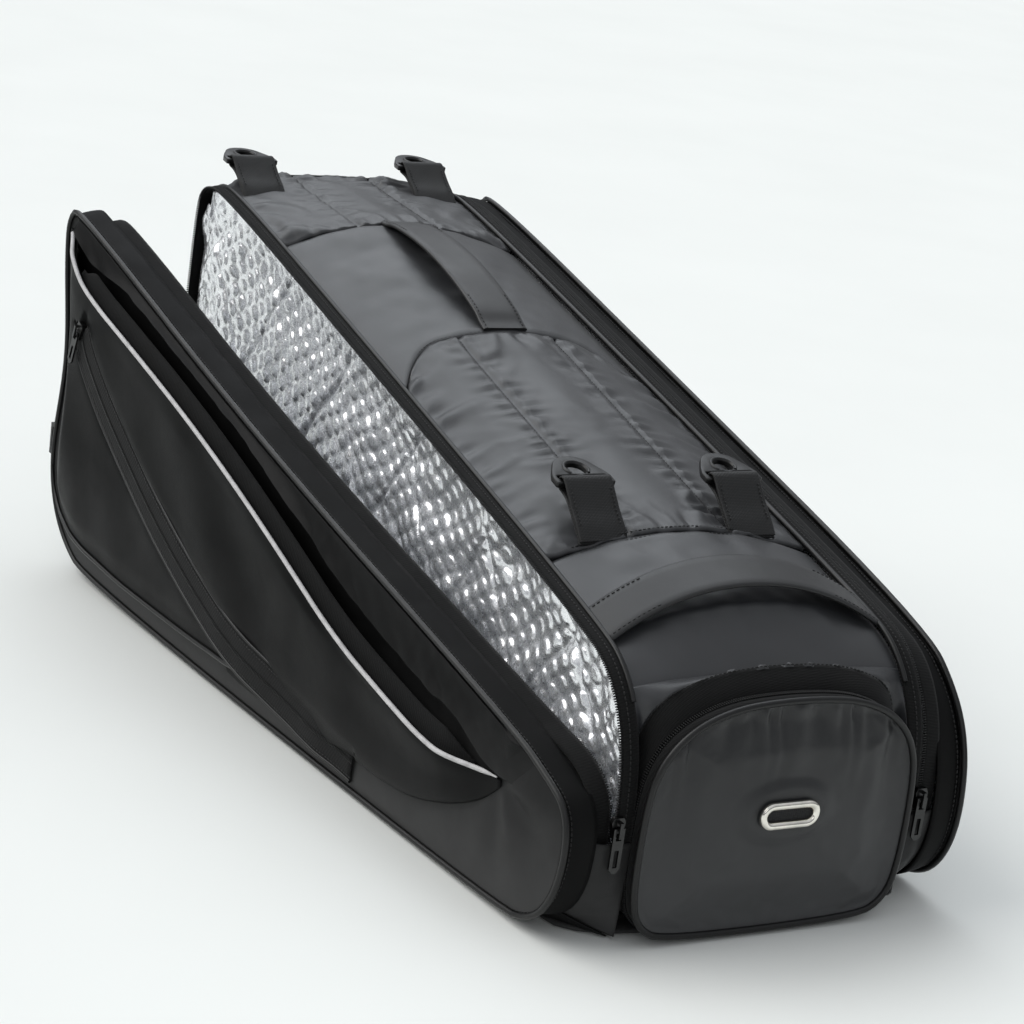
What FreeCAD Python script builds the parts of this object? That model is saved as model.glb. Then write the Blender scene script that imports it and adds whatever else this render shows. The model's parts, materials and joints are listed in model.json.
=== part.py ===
"""Racket tournament bag: two zipped side compartments, a core with a shoe door, straps' hooks and handles.

Frame: millimetres, +X along the bag towards the shoe door, +Y towards the closed side, +Z up.
The origin is on the floor, in the middle of the flat base panel.
The left compartment's cover stands swung open about its near end, where its zip is still closed.
"""
import FreeCAD, Part
import math
import os
import Sketcher

Vector = FreeCAD.Vector
doc = FreeCAD.newDocument("RacketTournamentBag")

# ---------------------------------------------------------------- driving dimensions
DIMENSIONS = {
    "near_x": 392.0,          # near end of the side compartments
    "far_x": -385.0,          # far end of the bag
    "edge_far_x": -368.0,     # far end of the straight top edge of a side
    "edge_far_z": 321.0,
    "edge_near_x": 322.0,     # near end of the straight top edge of a side
    "edge_near_z": 175.0,
    "side_low_z": 6.0,        # lowest line of a side panel
    "side_y": 155.0,          # outer face of a side panel
    "side_thick": 2.7,
    "lining_thick": 2.0,
    "skin_gap": 0.3,          # air between neighbouring skins
    "strip_thick": 2.5,       # gusset and zip tape
    "edge_low_z": 60.0,       # where the zips end above the floor
    "core_y": 105.0,          # half-width of the top panel
    "tape_width": 12.0,
    "coil_width": 1.7,
    "gusset_y": 149.7,        # outer edge of a cover's gusset
    "gusset_inner_y": 133.0,
    "cover_tape_y": 132.7,
    "cover_tape_inner_y": 119.5,
    "tape_rise": 16.0,        # the fixed tape stands this much above the side's top edge
    "cover_tape_rise": 11.0,
    "gusset_rise": 5.0,
    "divider_y": 103.0,
    "divider_thick": 2.6,
    "foil_thick": 2.5,
    "foil_floor_y": 149.0,
    "base_thick": 4.0,
    "board_thick": 3.0,
    "base_far_x": -378.0,
    "base_near_x": 388.0,
    "base_y": 150.0,
    "base_corner": 45.0,
    "cover_swing": 5.5,       # degrees that the left cover stands open
    "cover_sag": 52.0,        # how far the open cover's unsupported top edge droops
    "hinge_x": 392.0,
    "hinge_y": 150.0,
    "roof_x0": -381.0,        # seams across the top panel, from the far end
    "roof_x1": -232.0,
    "roof_x2": -35.0,
    "roof_x3": 238.0,
    "roof_x4": 325.0,
    "roof_x5": 366.0,
    "roof_z0": 322.0,         # height of the top panel's side edges at those seams
    "roof_z1": 309.0,
    "roof_z2": 269.0,
    "roof_z3": 210.0,
    "roof_z4": 190.0,
    "roof_z5": 160.0,
    "crown0": 14.0,           # how much higher its middle is
    "crown1": 20.0,
    "crown2": 22.0,
    "crown3": 17.0,
    "crown4": 14.0,
    "crown5": 8.0,
    "pad_thick": 14.0,
    "panel_thick": 5.0,
    "dome_y": 104.0,          # half-width of the shoe door
    "dome_z": 165.0,
    "dome_x0": 366.5,
    "dome_x1": 380.0,
    "dome_x2": 388.0,
    "dome_x3": 389.0,
    "dome_x4": 399.0,
    "dome_bulge": 9.0,
    "dome_wall": 4.0,
    "dome_low_z": 4.5,
    "piping_size": 4.0,
    "bulkhead_x": 60.0,
    "pocket_depth": 13.0,      # the outer pocket stands this far off the side panel
    "pocket_wall": 2.5,
    "webbing_width": 38.0,
    "webbing_thick": 3.0,
    "side_tab_width": 20.0,
    "handle_thick": 4.0,
    "long_handle_rise": 14.0,
    "end_handle_rise": 32.0,
    "end_handle_x": 314.0,
    "end_handle_y": 104.0,
    "end_handle_z": 196.5,
    "end_handle_tilt": 13.0,
    "hook_width": 46.0,
    "hook_thick": 4.6,
    "hook_bar": 4.4,
    "hook_length": 34.0,
    "eye_radius": 8.0,
    "eye_wall": 9.0,
    "near_hook_y": 60.0,
    "far_hook_y": 80.0,
    "slider_length": 14.0,
    "slider_width": 10.0,
    "slider_thick": 3.5,
    "bridge_height": 3.1,
    "bridge_bar": 1.4,
    "pull_length": 30.0,
    "pull_width": 8.0,
    "pull_thick": 1.6,
    "eyelet_length": 46.0,
    "eyelet_height": 19.0,
    "eyelet_band": 5.5,
    "eyelet_z": 90.0,
}

sheet = doc.addObject("Spreadsheet::Sheet", "Dims")
for row, (alias, number) in enumerate(DIMENSIONS.items(), start=1):
    sheet.set(f"A{row}", alias)
    sheet.set(f"B{row}", str(number))
    sheet.setAlias(f"B{row}", alias)
doc.recompute()


class Size:
    """A length with its value now and the sheet expression that drives it."""

    def __init__(self, value, text):
        self.value = value
        self.text = text

    def __add__(self, other):
        other = as_size(other)
        return Size(self.value + other.value, f"({self.text} + {other.text})")

    def __sub__(self, other):
        other = as_size(other)
        return Size(self.value - other.value, f"({self.text} - {other.text})")

    def __mul__(self, factor):
        return Size(self.value * factor, f"({self.text} * {factor:.6g})")

    def __neg__(self):
        return self * -1.0

    __radd__ = __add__
    __rmul__ = __mul__

    def __rsub__(self, other):
        return as_size(other) - self


def as_size(number):
    """A plain number as a Size."""
    return number if isinstance(number, Size) else Size(float(number), f"{float(number):.6g}")


class Sheet:
    """Reads a driving dimension as d.alias."""

    def __getattr__(self, alias):
        return Size(DIMENSIONS[alias], f"Dims.{alias}")


d = Sheet()
PARTS = []


def keep(item, label):
    """Names a finished sub-part and lists it for export."""
    item.Label = label
    PARTS.append(item)
    return item


# ---------------------------------------------------------------- sketches and bodies
def new_body(name):
    return doc.addObject("PartDesign::Body", name)


def base_plane(body, role):
    return next(item for item in body.Origin.OriginFeatures if item.Role == role)


def outline_sketch(body, name, role, offset, *loops):
    """A sketch of closed outlines, each a list of (across, up) sizes, on a plane of the body's origin."""
    sketch = body.newObject("Sketcher::SketchObject", name)
    sketch.AttachmentSupport = [(base_plane(body, role), "")]
    sketch.MapMode = "FlatFace"
    sketch.AttachmentOffset = FreeCAD.Placement(Vector(0, 0, as_size(offset).value), FreeCAD.Rotation())
    sketch.setExpression("AttachmentOffset.Base.z", as_size(offset).text)
    for loop in loops:
        corners = [(as_size(across), as_size(up)) for across, up in loop]
        points = [Vector(across.value, up.value, 0) for across, up in corners]
        first = sketch.GeometryCount
        count = len(points)
        sketch.addGeometry([Part.LineSegment(points[i], points[(i + 1) % count]) for i in range(count)])
        joined = [Sketcher.Constraint("Coincident", first + i, 2, first + (i + 1) % count, 1)
                  for i in range(count)]
        sketch.addConstraint(joined)
        for i, (across, up) in enumerate(corners):
            for kind, size in (("DistanceX", across), ("DistanceY", up)):
                index = sketch.addConstraint(Sketcher.Constraint(kind, -1, 1, first + i, 1, size.value))
                sketch.setExpression(f"Constraints[{index}]", size.text)
    return sketch


def add_pad(body, sketch, length, name="Pad"):
    pad = body.newObject("PartDesign::Pad", name)
    pad.Profile = sketch
    pad.Length = as_size(length).value
    pad.setExpression("Length", as_size(length).text)
    return pad


def cut_pocket(body, sketch, depth, name="Cut"):
    pocket = body.newObject("PartDesign::Pocket", name)
    pocket.Profile = sketch
    pocket.Length = as_size(depth).value
    pocket.setExpression("Length", as_size(depth).text)
    return pocket


def side_plate(name, loops, y_high, thickness):
    """A plate drawn in side view (x, z), from y_high down to y_high - thickness."""
    body = new_body(name)
    sketch = outline_sketch(body, name + "Outline", "XZ_Plane", -as_size(y_high), *loops)
    add_pad(body, sketch, thickness)
    return body


def end_plate(name, loops, x_low, thickness):
    """A plate drawn in end view (y, z), from x_low to x_low + thickness."""
    body = new_body(name)
    sketch = outline_sketch(body, name + "Outline", "YZ_Plane", x_low, *loops)
    add_pad(body, sketch, thickness)
    return body


def flat_plate(name, loops, z_low, thickness):
    """A plate drawn in plan (x, y), from z_low up."""
    body = new_body(name)
    sketch = outline_sketch(body, name + "Outline", "XY_Plane", z_low, *loops)
    add_pad(body, sketch, thickness)
    return body


def end_loft(name, sections):
    """A solid through end views: sections is a list of (x, outline)."""
    body = new_body(name)
    sketches = [outline_sketch(body, f"{name}Section{i}", "YZ_Plane", x, outline)
                for i, (x, outline) in enumerate(sections)]
    loft = body.newObject("PartDesign::AdditiveLoft", "Loft")
    loft.Profile = sketches[0]
    loft.Sections = sketches[1:]
    loft.Ruled = True
    return body


def place(item, x=0, y=0, z=0, axis=(0, 0, 1), angle=0.0):
    """Moves an item to a point, bound to the sheet, turned about an axis through it."""
    x, y, z = as_size(x), as_size(y), as_size(z)
    angle = as_size(angle)
    item.Placement = FreeCAD.Placement(Vector(x.value, y.value, z.value),
                                       FreeCAD.Rotation(Vector(*axis), angle.value))
    for letter, size in zip("xyz", (x, y, z)):
        item.setExpression(f"Placement.Base.{letter}", size.text)
    return item


def group(label, items):
    """Separate solids that share one node."""
    compound = doc.addObject("Part::Compound", label)
    compound.Links = items
    return keep(compound, label)


# ---------------------------------------------------------------- outlines
def side_ring(shift=0.0, rise=0.0, sag=0.0):
    """The closed outline of a side panel, moved inwards by shift, its top edge raised by rise.

    Each corner has its inward direction, its share of the rise and its share of the sag."""
    corners = [
        (d.edge_near_x + 12, d.side_low_z, 0.0, 1.0, 0, 0),
        (d.near_x - 22, d.side_low_z + 10, -0.6, 0.8, 0, 0),
        (d.near_x - 5, d.side_low_z + 34, -0.97, 0.25, 0, 0),
        (d.near_x, d.edge_low_z + 12, -1.0, 0.0, 0, 0),
        (d.near_x - 6, d.edge_near_z - 63, -0.95, -0.3, 0.2, 0.3),
        (d.near_x - 26, d.edge_near_z - 31, -0.75, -0.65, 0.6, 0.72),
        (d.edge_near_x, d.edge_near_z, -0.3, -0.95, 1, 1.0),
        (d.edge_near_x - 362, d.edge_near_z + 77, -0.2, -0.97, 1, 0.92),
        (d.edge_far_x, d.edge_far_z, 0.25, -0.97, 1, 0.42),
        (d.far_x + 4, d.edge_far_z - 10, 0.8, -0.6, 0.7, 0.4),
        (d.far_x, d.edge_far_z - 30, 1.0, 0.0, 0.2, 0.4),
        (d.far_x, d.side_low_z + 105, 1.0, 0.1, 0, 0),
        (d.far_x + 14, d.side_low_z + 52, 0.92, 0.4, 0, 0),
        (d.far_x + 44, d.side_low_z + 18, 0.65, 0.76, 0, 0),
        (d.far_x + 90, d.side_low_z, 0.2, 0.98, 0, 0),
    ]
    return outline_points(corners, shift, rise, sag)


def outline_points(corners, shift, rise, sag):
    """Corners moved inwards by shift, up by their share of rise and down by their share of the sag."""
    shift = as_size(shift)
    rise = as_size(rise)
    drop = as_size(sag)
    return [(x + shift * inward_x, z + shift * inward_z + rise * share - drop * droop)
            for x, z, inward_x, inward_z, share, droop in corners]


def zip_path(shift=0.0, rise=0.0, sag=0.0):
    """The open line of a zip, up the near end, along the top and down the far end."""
    corners = [
        (d.near_x - 2, d.edge_low_z, -1.0, 0.0, 0, 0),
        (d.near_x - 2, d.edge_low_z + 45, -1.0, -0.1, 0, 0.3),
        (d.near_x - 10, d.edge_near_z - 40, -0.9, -0.45, 0.4, 0.62),
        (d.near_x - 32, d.edge_near_z - 14, -0.65, -0.75, 0.8, 0.95),
        (d.edge_near_x, d.edge_near_z, -0.3, -0.95, 1, 1.15),
        (d.edge_near_x - 362, d.edge_near_z + 77, -0.2, -0.97, 1, 1.08),
        (d.edge_far_x + 40, d.edge_far_z - 8, 0.1, -1.0, 0.9, 0.6),
        (d.edge_far_x, d.edge_far_z - 6, 0.45, -0.9, 0.6, 0.5),
        (d.far_x + 3, d.edge_far_z - 24, 1.0, -0.2, 0.2, 0.5),
        (d.far_x + 3, d.edge_low_z + 30, 1.0, 0.0, 0, 0),
    ]
    return outline_points(corners, shift, rise, sag)


def strip(path_outer, path_inner):
    """An open band between two lines."""
    return path_outer + path_inner[::-1]


def relative(loop, x, z=0.0):
    """The same outline measured from the point x, z."""
    return [(across - x, up - z) for across, up in loop]


def arch(half_width, edge_z, crown, thickness, steps=6):
    """The crowned cross-section of a top panel, thickness measured down."""
    fractions = [2.0 * i / steps - 1.0 for i in range(steps + 1)]
    upper = [(half_width * k, edge_z + crown * (1 - k * k)) for k in fractions]
    lower = [(half_width * k, edge_z + crown * (1 - k * k) - thickness) for k in reversed(fractions)]
    return upper + lower


DOME_SHAPE = ((0.72, 0.0), (0.92, 0.06), (1.0, 0.20), (1.0, 0.62), (0.92, 0.79),
              (0.74, 0.91), (0.47, 0.98), (0.16, 1.0))


def dome(shift=0.0, scale=1.0):
    """The shoe door's outline in end view, moved inwards by shift and scaled about its middle."""
    half = d.dome_y - shift
    tall = d.dome_z - d.dome_low_z - as_size(shift) * 2.0
    low = d.dome_low_z + shift + tall * (0.5 - 0.5 * scale)
    right = [(half * (scale * across), low + tall * (scale * up)) for across, up in DOME_SHAPE]
    left = [(-across, up) for across, up in reversed(right)]
    return right + left


# ---------------------------------------------------------------- base and core
def base_outline(inset):
    cut = d.base_corner
    far, near, side = d.base_far_x + inset, d.base_near_x - inset, d.base_y - inset
    return [(far + cut, -side), (near - cut, -side), (near, -side + cut), (near, side - cut),
            (near - cut, side), (far + cut, side), (far, side - cut), (far, -side + cut)]


def make_base():
    keep(flat_plate("bottom_panel", [base_outline(as_size(0))], 0.0, d.base_thick), "bottom_panel")
    inside = d.divider_y - d.divider_thick - d.skin_gap
    far, near = d.far_x + 8, d.dome_x0 - d.skin_gap
    board = [(far, -inside), (near, -inside), (near, inside), (far, inside)]
    keep(flat_plate("base_board", [board], d.base_thick + d.skin_gap, d.board_thick), "base_board")


def core_side(drop):
    """The side view of a divider between the core and a side compartment."""
    low = d.base_thick + d.skin_gap
    return [(d.far_x + 6, low), (d.roof_x5 - 1, low), (d.roof_x5 - 1, d.roof_z5 - drop),
            (d.roof_x4, d.roof_z4 - drop), (d.roof_x3, d.roof_z3 - drop), (d.roof_x2, d.roof_z2 - drop),
            (d.roof_x1, d.roof_z1 - drop), (d.far_x + 6, d.roof_z0 - drop)]


def foil_side(drop):
    """The side view of the foil on a divider, clear of the floor foil below it."""
    low = d.base_thick + d.skin_gap
    return [(d.far_x + 12, low), (d.roof_x5 - 6, low), (d.roof_x5 - 6, d.edge_near_z - drop - 16),
            (d.edge_near_x, d.edge_near_z - drop), (d.edge_far_x + 14, d.edge_far_z - drop - 18),
            (d.far_x + 12, d.edge_far_z - drop - 26)]


def make_dividers():
    drop = d.pad_thick + 8
    for side, label in ((-1, "left"), (1, "right")):
        outer = d.divider_y if side > 0 else -(d.divider_y - d.divider_thick)
        keep(side_plate(f"divider_{label}", [core_side(drop)], outer, d.divider_thick), f"divider_{label}")
        gap = d.divider_y + d.skin_gap
        foil_high = gap + d.foil_thick if side > 0 else -gap
        keep(side_plate(f"foil_wall_{label}", [foil_side(as_size(2))], foil_high, d.foil_thick),
             f"foil_wall_{label}")
        inner = gap + d.foil_thick + d.skin_gap
        outer = d.foil_floor_y
        far, near, cut = d.base_far_x + 6, d.base_near_x - 18, d.base_corner
        floor = [(far + 8, inner * side), (near, inner * side), (near - 4, (outer - 22) * side),
                 (near - cut, outer * side), (far + cut, outer * side), (far + 8, (outer - 30) * side)]
        keep(flat_plate(f"foil_floor_{label}", [floor], d.base_thick + d.skin_gap, d.lining_thick),
             f"foil_floor_{label}")


def make_roof():
    """The padded top panel, in four lengths with a seam between each two."""
    gap = d.skin_gap
    seams = [(d.roof_x0, d.roof_z0, d.crown0), (d.roof_x1, d.roof_z1, d.crown1),
             (d.roof_x2, d.roof_z2, d.crown2), (d.roof_x3, d.roof_z3, d.crown3),
             (d.roof_x4, d.roof_z4, d.crown4), (d.roof_x5, d.roof_z5, d.crown5)]
    spans = (("top_pad_far", 0, 1, d.pad_thick), ("top_panel_mid", 1, 2, d.panel_thick),
             ("top_pad_near", 2, 3, d.pad_thick), ("top_panel_near", 3, 5, d.panel_thick))
    for label, first, last, thickness in spans:
        sections = []
        for x, edge_z, crown in seams[first:last + 1]:
            inset = gap if not sections else -gap
            is_middle = bool(sections) and len(sections) < last - first
            place_x = x if is_middle else x + inset
            sections.append((place_x, arch(d.core_y - gap, edge_z, crown, thickness)))
        keep(end_loft(label, sections), label)


def make_far_end():
    low, high = d.base_thick + d.skin_gap, d.roof_z0 - d.pad_thick - 10
    side = d.core_y - 2
    panel = [(-side, low), (side, low), (side, high), (-side, high)]
    keep(end_plate("far_end_panel", [panel], d.far_x + 2, 3.0), "far_end_panel")


def make_zips():
    """Fixed half of each side zip: a woven tape with its coil along the outer edge."""
    thick = d.strip_thick
    tape = strip(zip_path(0.0, d.tape_rise), zip_path(thick, d.tape_rise))
    coil = strip(zip_path(-0.4, d.tape_rise), zip_path(thick + 0.4, d.tape_rise))
    for side, label in ((-1, "left"), (1, "right")):
        tape_high = d.core_y + d.tape_width if side > 0 else -d.core_y
        keep(side_plate(f"zip_tape_{label}", [tape], tape_high, d.tape_width), f"zip_tape_{label}")
        edge = d.core_y + d.tape_width + d.skin_gap
        coil_high = edge + d.coil_width if side > 0 else -edge
        keep(side_plate(f"zip_coil_{label}", [coil], coil_high, d.coil_width), f"zip_coil_{label}")


# ---------------------------------------------------------------- side covers
def cover_plate(label, side, loops, y_outer, thickness):
    """A plate of a cover, from y_outer towards the core, in a body whose origin is the cover's hinge."""
    high = y_outer - d.hinge_y if side > 0 else -(y_outer - d.hinge_y) + thickness
    moved = [relative(loop, d.hinge_x) for loop in loops]
    body = side_plate(label, moved, high, thickness)
    return hang_on_cover(body, side)


def hang_on_cover(body, side):
    """Places a cover's piece at its hinge, the left one swung open."""
    swing = d.cover_swing if side < 0 else as_size(0)
    place(body, d.hinge_x, d.hinge_y * side, 0, (0, 0, 1), swing)
    if side < 0:
        body.setExpression("Placement.Rotation.Angle", "Dims.cover_swing * 1 deg")
    return body


def make_cover(side, label):
    sag = d.cover_sag if side < 0 else as_size(0)
    face = side_ring(sag=sag)
    keep(cover_plate(f"{label}_side_panel", side, [face], d.side_y, d.side_thick), f"{label}_side_panel")
    lining_y = d.side_y - d.side_thick - d.skin_gap
    keep(cover_plate(f"{label}_foil_lining", side, [side_ring(5.0, sag=sag)], lining_y, d.lining_thick),
         f"{label}_foil_lining")
    thick = d.strip_thick
    hoop = [side_ring(1.0, d.gusset_rise, sag), side_ring(thick + 1, d.gusset_rise, sag)]
    width = d.gusset_y - d.gusset_inner_y
    keep(cover_plate(f"{label}_gusset", side, hoop, d.gusset_y, width), f"{label}_gusset")
    tape = strip(zip_path(0.0, d.cover_tape_rise, sag), zip_path(thick, d.cover_tape_rise, sag))
    width = d.cover_tape_y - d.cover_tape_inner_y
    keep(cover_plate(f"{label}_cover_tape", side, [tape], d.cover_tape_y, width), f"{label}_cover_tape")
    size = d.piping_size
    ring = [side_ring(-(size + d.skin_gap), sag=sag), side_ring(-d.skin_gap, sag=sag)]
    keep(cover_plate(f"{label}_piping", side, ring, d.side_y + 1.5, size), f"{label}_piping")


POCKET_MOUTH = ((-354, 274), (-306, 246), (-211, 223), (-114, 198), (-27, 171), (51, 143), (130, 113),
                (202, 97), (255, 87), (312, 88))


def pocket_outline(inset):
    """The outer pocket in side view: the slanting mouth above, the side's own edge below."""
    mouth = [(as_size(x), as_size(z)) for x, z in POCKET_MOUTH]
    below = [(d.edge_near_x - 8, d.side_low_z + 22 + inset), (d.edge_near_x - 50, d.side_low_z + 4 + inset),
             (d.far_x + 94, d.side_low_z + 4 + inset), (d.far_x + 48 + inset, d.side_low_z + 22 + inset),
             (d.far_x + 20 + inset, d.side_low_z + 56), (d.far_x + 8 + inset, d.side_low_z + 108)]
    return mouth + below


def make_pocket():
    """A gusseted pocket on the left cover, open along its slanting top edge."""
    body = new_body("outer_pocket")
    loop = relative(pocket_outline(as_size(0)), d.hinge_x)
    inner_y = d.side_y - d.hinge_y + d.skin_gap
    high = -inner_y
    add_pad(body, outline_sketch(body, "PocketOutline", "XZ_Plane", -high, loop), d.pocket_depth)
    doc.recompute()
    hollow = pocket_outline(d.pocket_wall)
    count = len(POCKET_MOUTH)
    hollow = [(x, z + 20) for x, z in hollow[:count]] + hollow[count:]
    hollow[0] = (hollow[0][0] + 4, hollow[0][1])
    hollow[count - 1] = (hollow[count - 1][0] - 6, hollow[count - 1][1])
    sketch = outline_sketch(body, "PocketHollow", "XZ_Plane", -high, relative(hollow, d.hinge_x))
    cut = cut_pocket(body, sketch, d.pocket_depth - d.pocket_wall)
    cut.Reversed = True
    keep(hang_on_cover(body, -1), "outer_pocket")
    mouth = [(as_size(x), as_size(z)) for x, z in POCKET_MOUTH]
    cord = strip([(x, z + 3.6) for x, z in mouth], [(x, z + 0.3) for x, z in mouth])
    outer = d.side_y + d.skin_gap + d.pocket_depth
    keep(cover_plate("reflective_piping", -1, [cord], outer, 3.0), "reflective_piping")


SWOOSH = ((-308, 214), (-298, 196), (-255, 158), (-190, 117), (-125, 84), (-58, 60), (12, 43), (78, 33), (140, 28))


def make_swoosh():
    """The curved pocket zip's tape, on the outer pocket's face."""
    upper = [(as_size(x + 8), as_size(z + 9)) for x, z in SWOOSH]
    lower = [(as_size(x - 4), as_size(z - 9)) for x, z in SWOOSH]
    outer = d.side_y + d.skin_gap * 2 + d.pocket_depth + 1
    keep(cover_plate("pocket_zip_tape", -1, [strip(upper, lower)], outer, 1.0), "pocket_zip_tape")


# ---------------------------------------------------------------- shoe door
def make_shoe_door():
    wall = d.dome_wall
    keep(end_plate("mouth_frame", [dome(), dome(wall)], d.dome_x0, d.dome_x1 - d.dome_x0), "mouth_frame")
    keep(end_plate("door_zip_tape", [dome(0.5), dome(3.0)], d.dome_x1 + d.skin_gap,
                   d.dome_x2 - d.dome_x1 - d.skin_gap), "door_zip_tape")
    keep(end_plate("door_rim", [dome(0.5), dome(3.0)], d.dome_x3, d.dome_x4 - d.dome_x3 - d.skin_gap),
         "door_rim")
    sections = [(d.dome_x4, dome(2.0)), (d.dome_x4 + 3.0, dome(2.0)),
                (d.dome_x4 + d.dome_bulge, dome(2.0, 0.7))]
    keep(end_loft("door_panel", sections), "door_panel")
    ring = [dome(-1.5), dome(1.7)]
    keep(end_plate("door_piping", ring, d.dome_x4 + 0.2, 3.0), "door_piping")
    low, high = d.base_thick + d.board_thick + d.skin_gap * 2, d.roof_z3 + 14
    side = d.divider_y - d.divider_thick - d.skin_gap
    bulkhead = [(-side, low), (side, low), (side, high), (-side, high)]
    keep(end_plate("shoe_bulkhead", [bulkhead], d.bulkhead_x, 3.0), "shoe_bulkhead")


def oblong(length, height, centre_z, steps=6):
    """A slot-shaped outline in end view, its round ends as short chords."""
    radius = height * 0.5
    reach = length * 0.5 - radius
    angles = [math.pi * (i / steps - 0.5) for i in range(steps + 1)]
    right = [(reach + radius * math.cos(a), centre_z + radius * math.sin(a)) for a in angles]
    left = [(-(reach + radius * math.cos(a)), centre_z - radius * math.sin(a)) for a in angles]
    return right + left


def make_eyelet():
    """The oblong vent: a metal ring outside, a washer inside and mesh between them."""
    front = d.dome_x4 + d.dome_bulge + d.skin_gap
    outer = oblong(d.eyelet_length, d.eyelet_height, d.eyelet_z)
    slot_length, slot_height = d.eyelet_length - d.eyelet_band * 2, d.eyelet_height - d.eyelet_band * 2
    keep(end_plate("vent_mesh", [oblong(d.eyelet_length - 3, d.eyelet_height - 3, d.eyelet_z)], front, 0.8),
         "vent_mesh")
    slot = oblong(slot_length, slot_height, d.eyelet_z)
    keep(end_plate("eyelet_ring", [outer, slot], front + 1.1, 3.0), "eyelet_ring")
    keep(end_plate("eyelet_washer", [outer, slot], d.dome_x4 - 1.6, 1.3), "eyelet_washer")


# ---------------------------------------------------------------- webbing, hooks and handles
def primitive(kind, name, **sizes):
    """A Part primitive whose sizes are bound to the sheet."""
    item = doc.addObject(f"Part::{kind}", name)
    for key, size in sizes.items():
        setattr(item, key, as_size(size).value)
        item.setExpression(key, as_size(size).text)
    return item


def fuse(name, items):
    item = doc.addObject("Part::MultiFuse", name)
    item.Shapes = items
    return item


def cut(name, base, tool):
    item = doc.addObject("Part::Cut", name)
    item.Base = base
    item.Tool = tool
    return item


TAB_TAIL = 30.0
HOOK_WINDOW = 5.4
TAB_HOLE = 3.6


def make_tab(name, x, y, z, tilt):
    """A webbing tab: a tail sewn into a seam and a loop round the hook's bar. The loop is at x, y, z."""
    thick = d.webbing_thick
    loop_radius = thick + TAB_HOLE
    loop = primitive("Cylinder", name + "Loop", Radius=loop_radius, Height=d.webbing_width)
    tail = primitive("Box", name + "Tail", Length=TAB_TAIL, Width=d.webbing_width, Height=thick)
    hole = primitive("Cylinder", name + "Hole", Radius=as_size(TAB_HOLE), Height=d.webbing_width + 2)
    turn = FreeCAD.Rotation(Vector(1, 0, 0), -90)
    loop.Placement = FreeCAD.Placement(Vector(0, -DIMENSIONS["webbing_width"] / 2, 0), turn)
    hole.Placement = FreeCAD.Placement(Vector(0, -DIMENSIONS["webbing_width"] / 2 - 1, 0), turn)
    place(tail, 0, d.webbing_width * -0.5, -loop_radius)
    solid = cut(name, fuse(name + "Band", [loop, tail]), hole)
    return place(solid, x, y, z, (0, 1, 0), tilt)


def make_hook(label, x, y, z, tilt):
    """A moulded ring hook: a bar inside the webbing loop and a plate with a round eye."""
    half = d.hook_width * 0.5
    bar = d.hook_bar * 0.5
    slot = d.hook_bar + HOOK_WINDOW - 1
    plate = primitive("Box", label + "Plate", Length=slot + 5, Width=d.hook_width, Height=d.hook_thick)
    place(plate, -(slot + 5 - bar), -half, d.hook_thick * -0.5)
    round_part = primitive("Cylinder", label + "Round", Radius=d.eye_radius + d.eye_wall, Height=d.hook_thick)
    place(round_part, d.eye_radius + d.eye_wall - d.hook_length + bar, 0, d.hook_thick * -0.5)
    window = primitive("Box", label + "Window", Length=as_size(HOOK_WINDOW), Width=d.webbing_width + 2,
                       Height=d.hook_thick + 2)
    place(window, -(bar + HOOK_WINDOW), d.webbing_width * -0.5 - 1, d.hook_thick * -0.5 - 1)
    eye = primitive("Cylinder", label + "Eye", Radius=d.eye_radius, Height=d.hook_thick + 2)
    place(eye, d.eye_radius + d.eye_wall - d.hook_length + bar, 0, d.hook_thick * -0.5 - 1)
    solid = cut(label, fuse(label + "Body", [plate, round_part]), fuse(label + "Holes", [window, eye]))
    return keep(place(solid, x, y, z, (0, 1, 0), tilt), label)


NEAR_LOOP_X = 203.0
NEAR_LOOP_Z = 247.0
NEAR_TILT = 14.0
FAR_LOOP_X = -362.0
FAR_LOOP_Z = 346.0
FAR_TILT = 6.0


def make_strap_hooks():
    tabs = []
    for side, label in ((-1, "left"), (1, "right")):
        near = (NEAR_LOOP_X, d.near_hook_y * side, NEAR_LOOP_Z)
        tabs.append(make_tab(f"NearTab{label}", *near, NEAR_TILT))
        make_hook(f"near_hook_{label}", *near, NEAR_TILT)
        far = (FAR_LOOP_X, d.far_hook_y * side, FAR_LOOP_Z)
        tabs.append(make_tab(f"FarTab{label}", *far, FAR_TILT))
        make_hook(f"far_hook_{label}", *far, FAR_TILT)
    group("strap_tabs", tabs)


def handle_band(start, end, rise, first, last, steps=8):
    """The side view of part of an arched strap between two points, from share first to share last."""
    outer = []
    inner = []
    for i in range(steps + 1):
        t = first + (last - first) * i / steps
        across = start[0] + (end[0] - start[0]) * t
        up = start[1] + (end[1] - start[1]) * t + rise * (4 * t * (1 - t))
        outer.append((across, up))
        inner.append((across, up - d.handle_thick))
    return strip(outer, inner)


HANDLE_FREE = (0.2, 0.8)
HANDLE_SEWN = ((0.03, 0.19), (0.81, 0.97))


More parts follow.
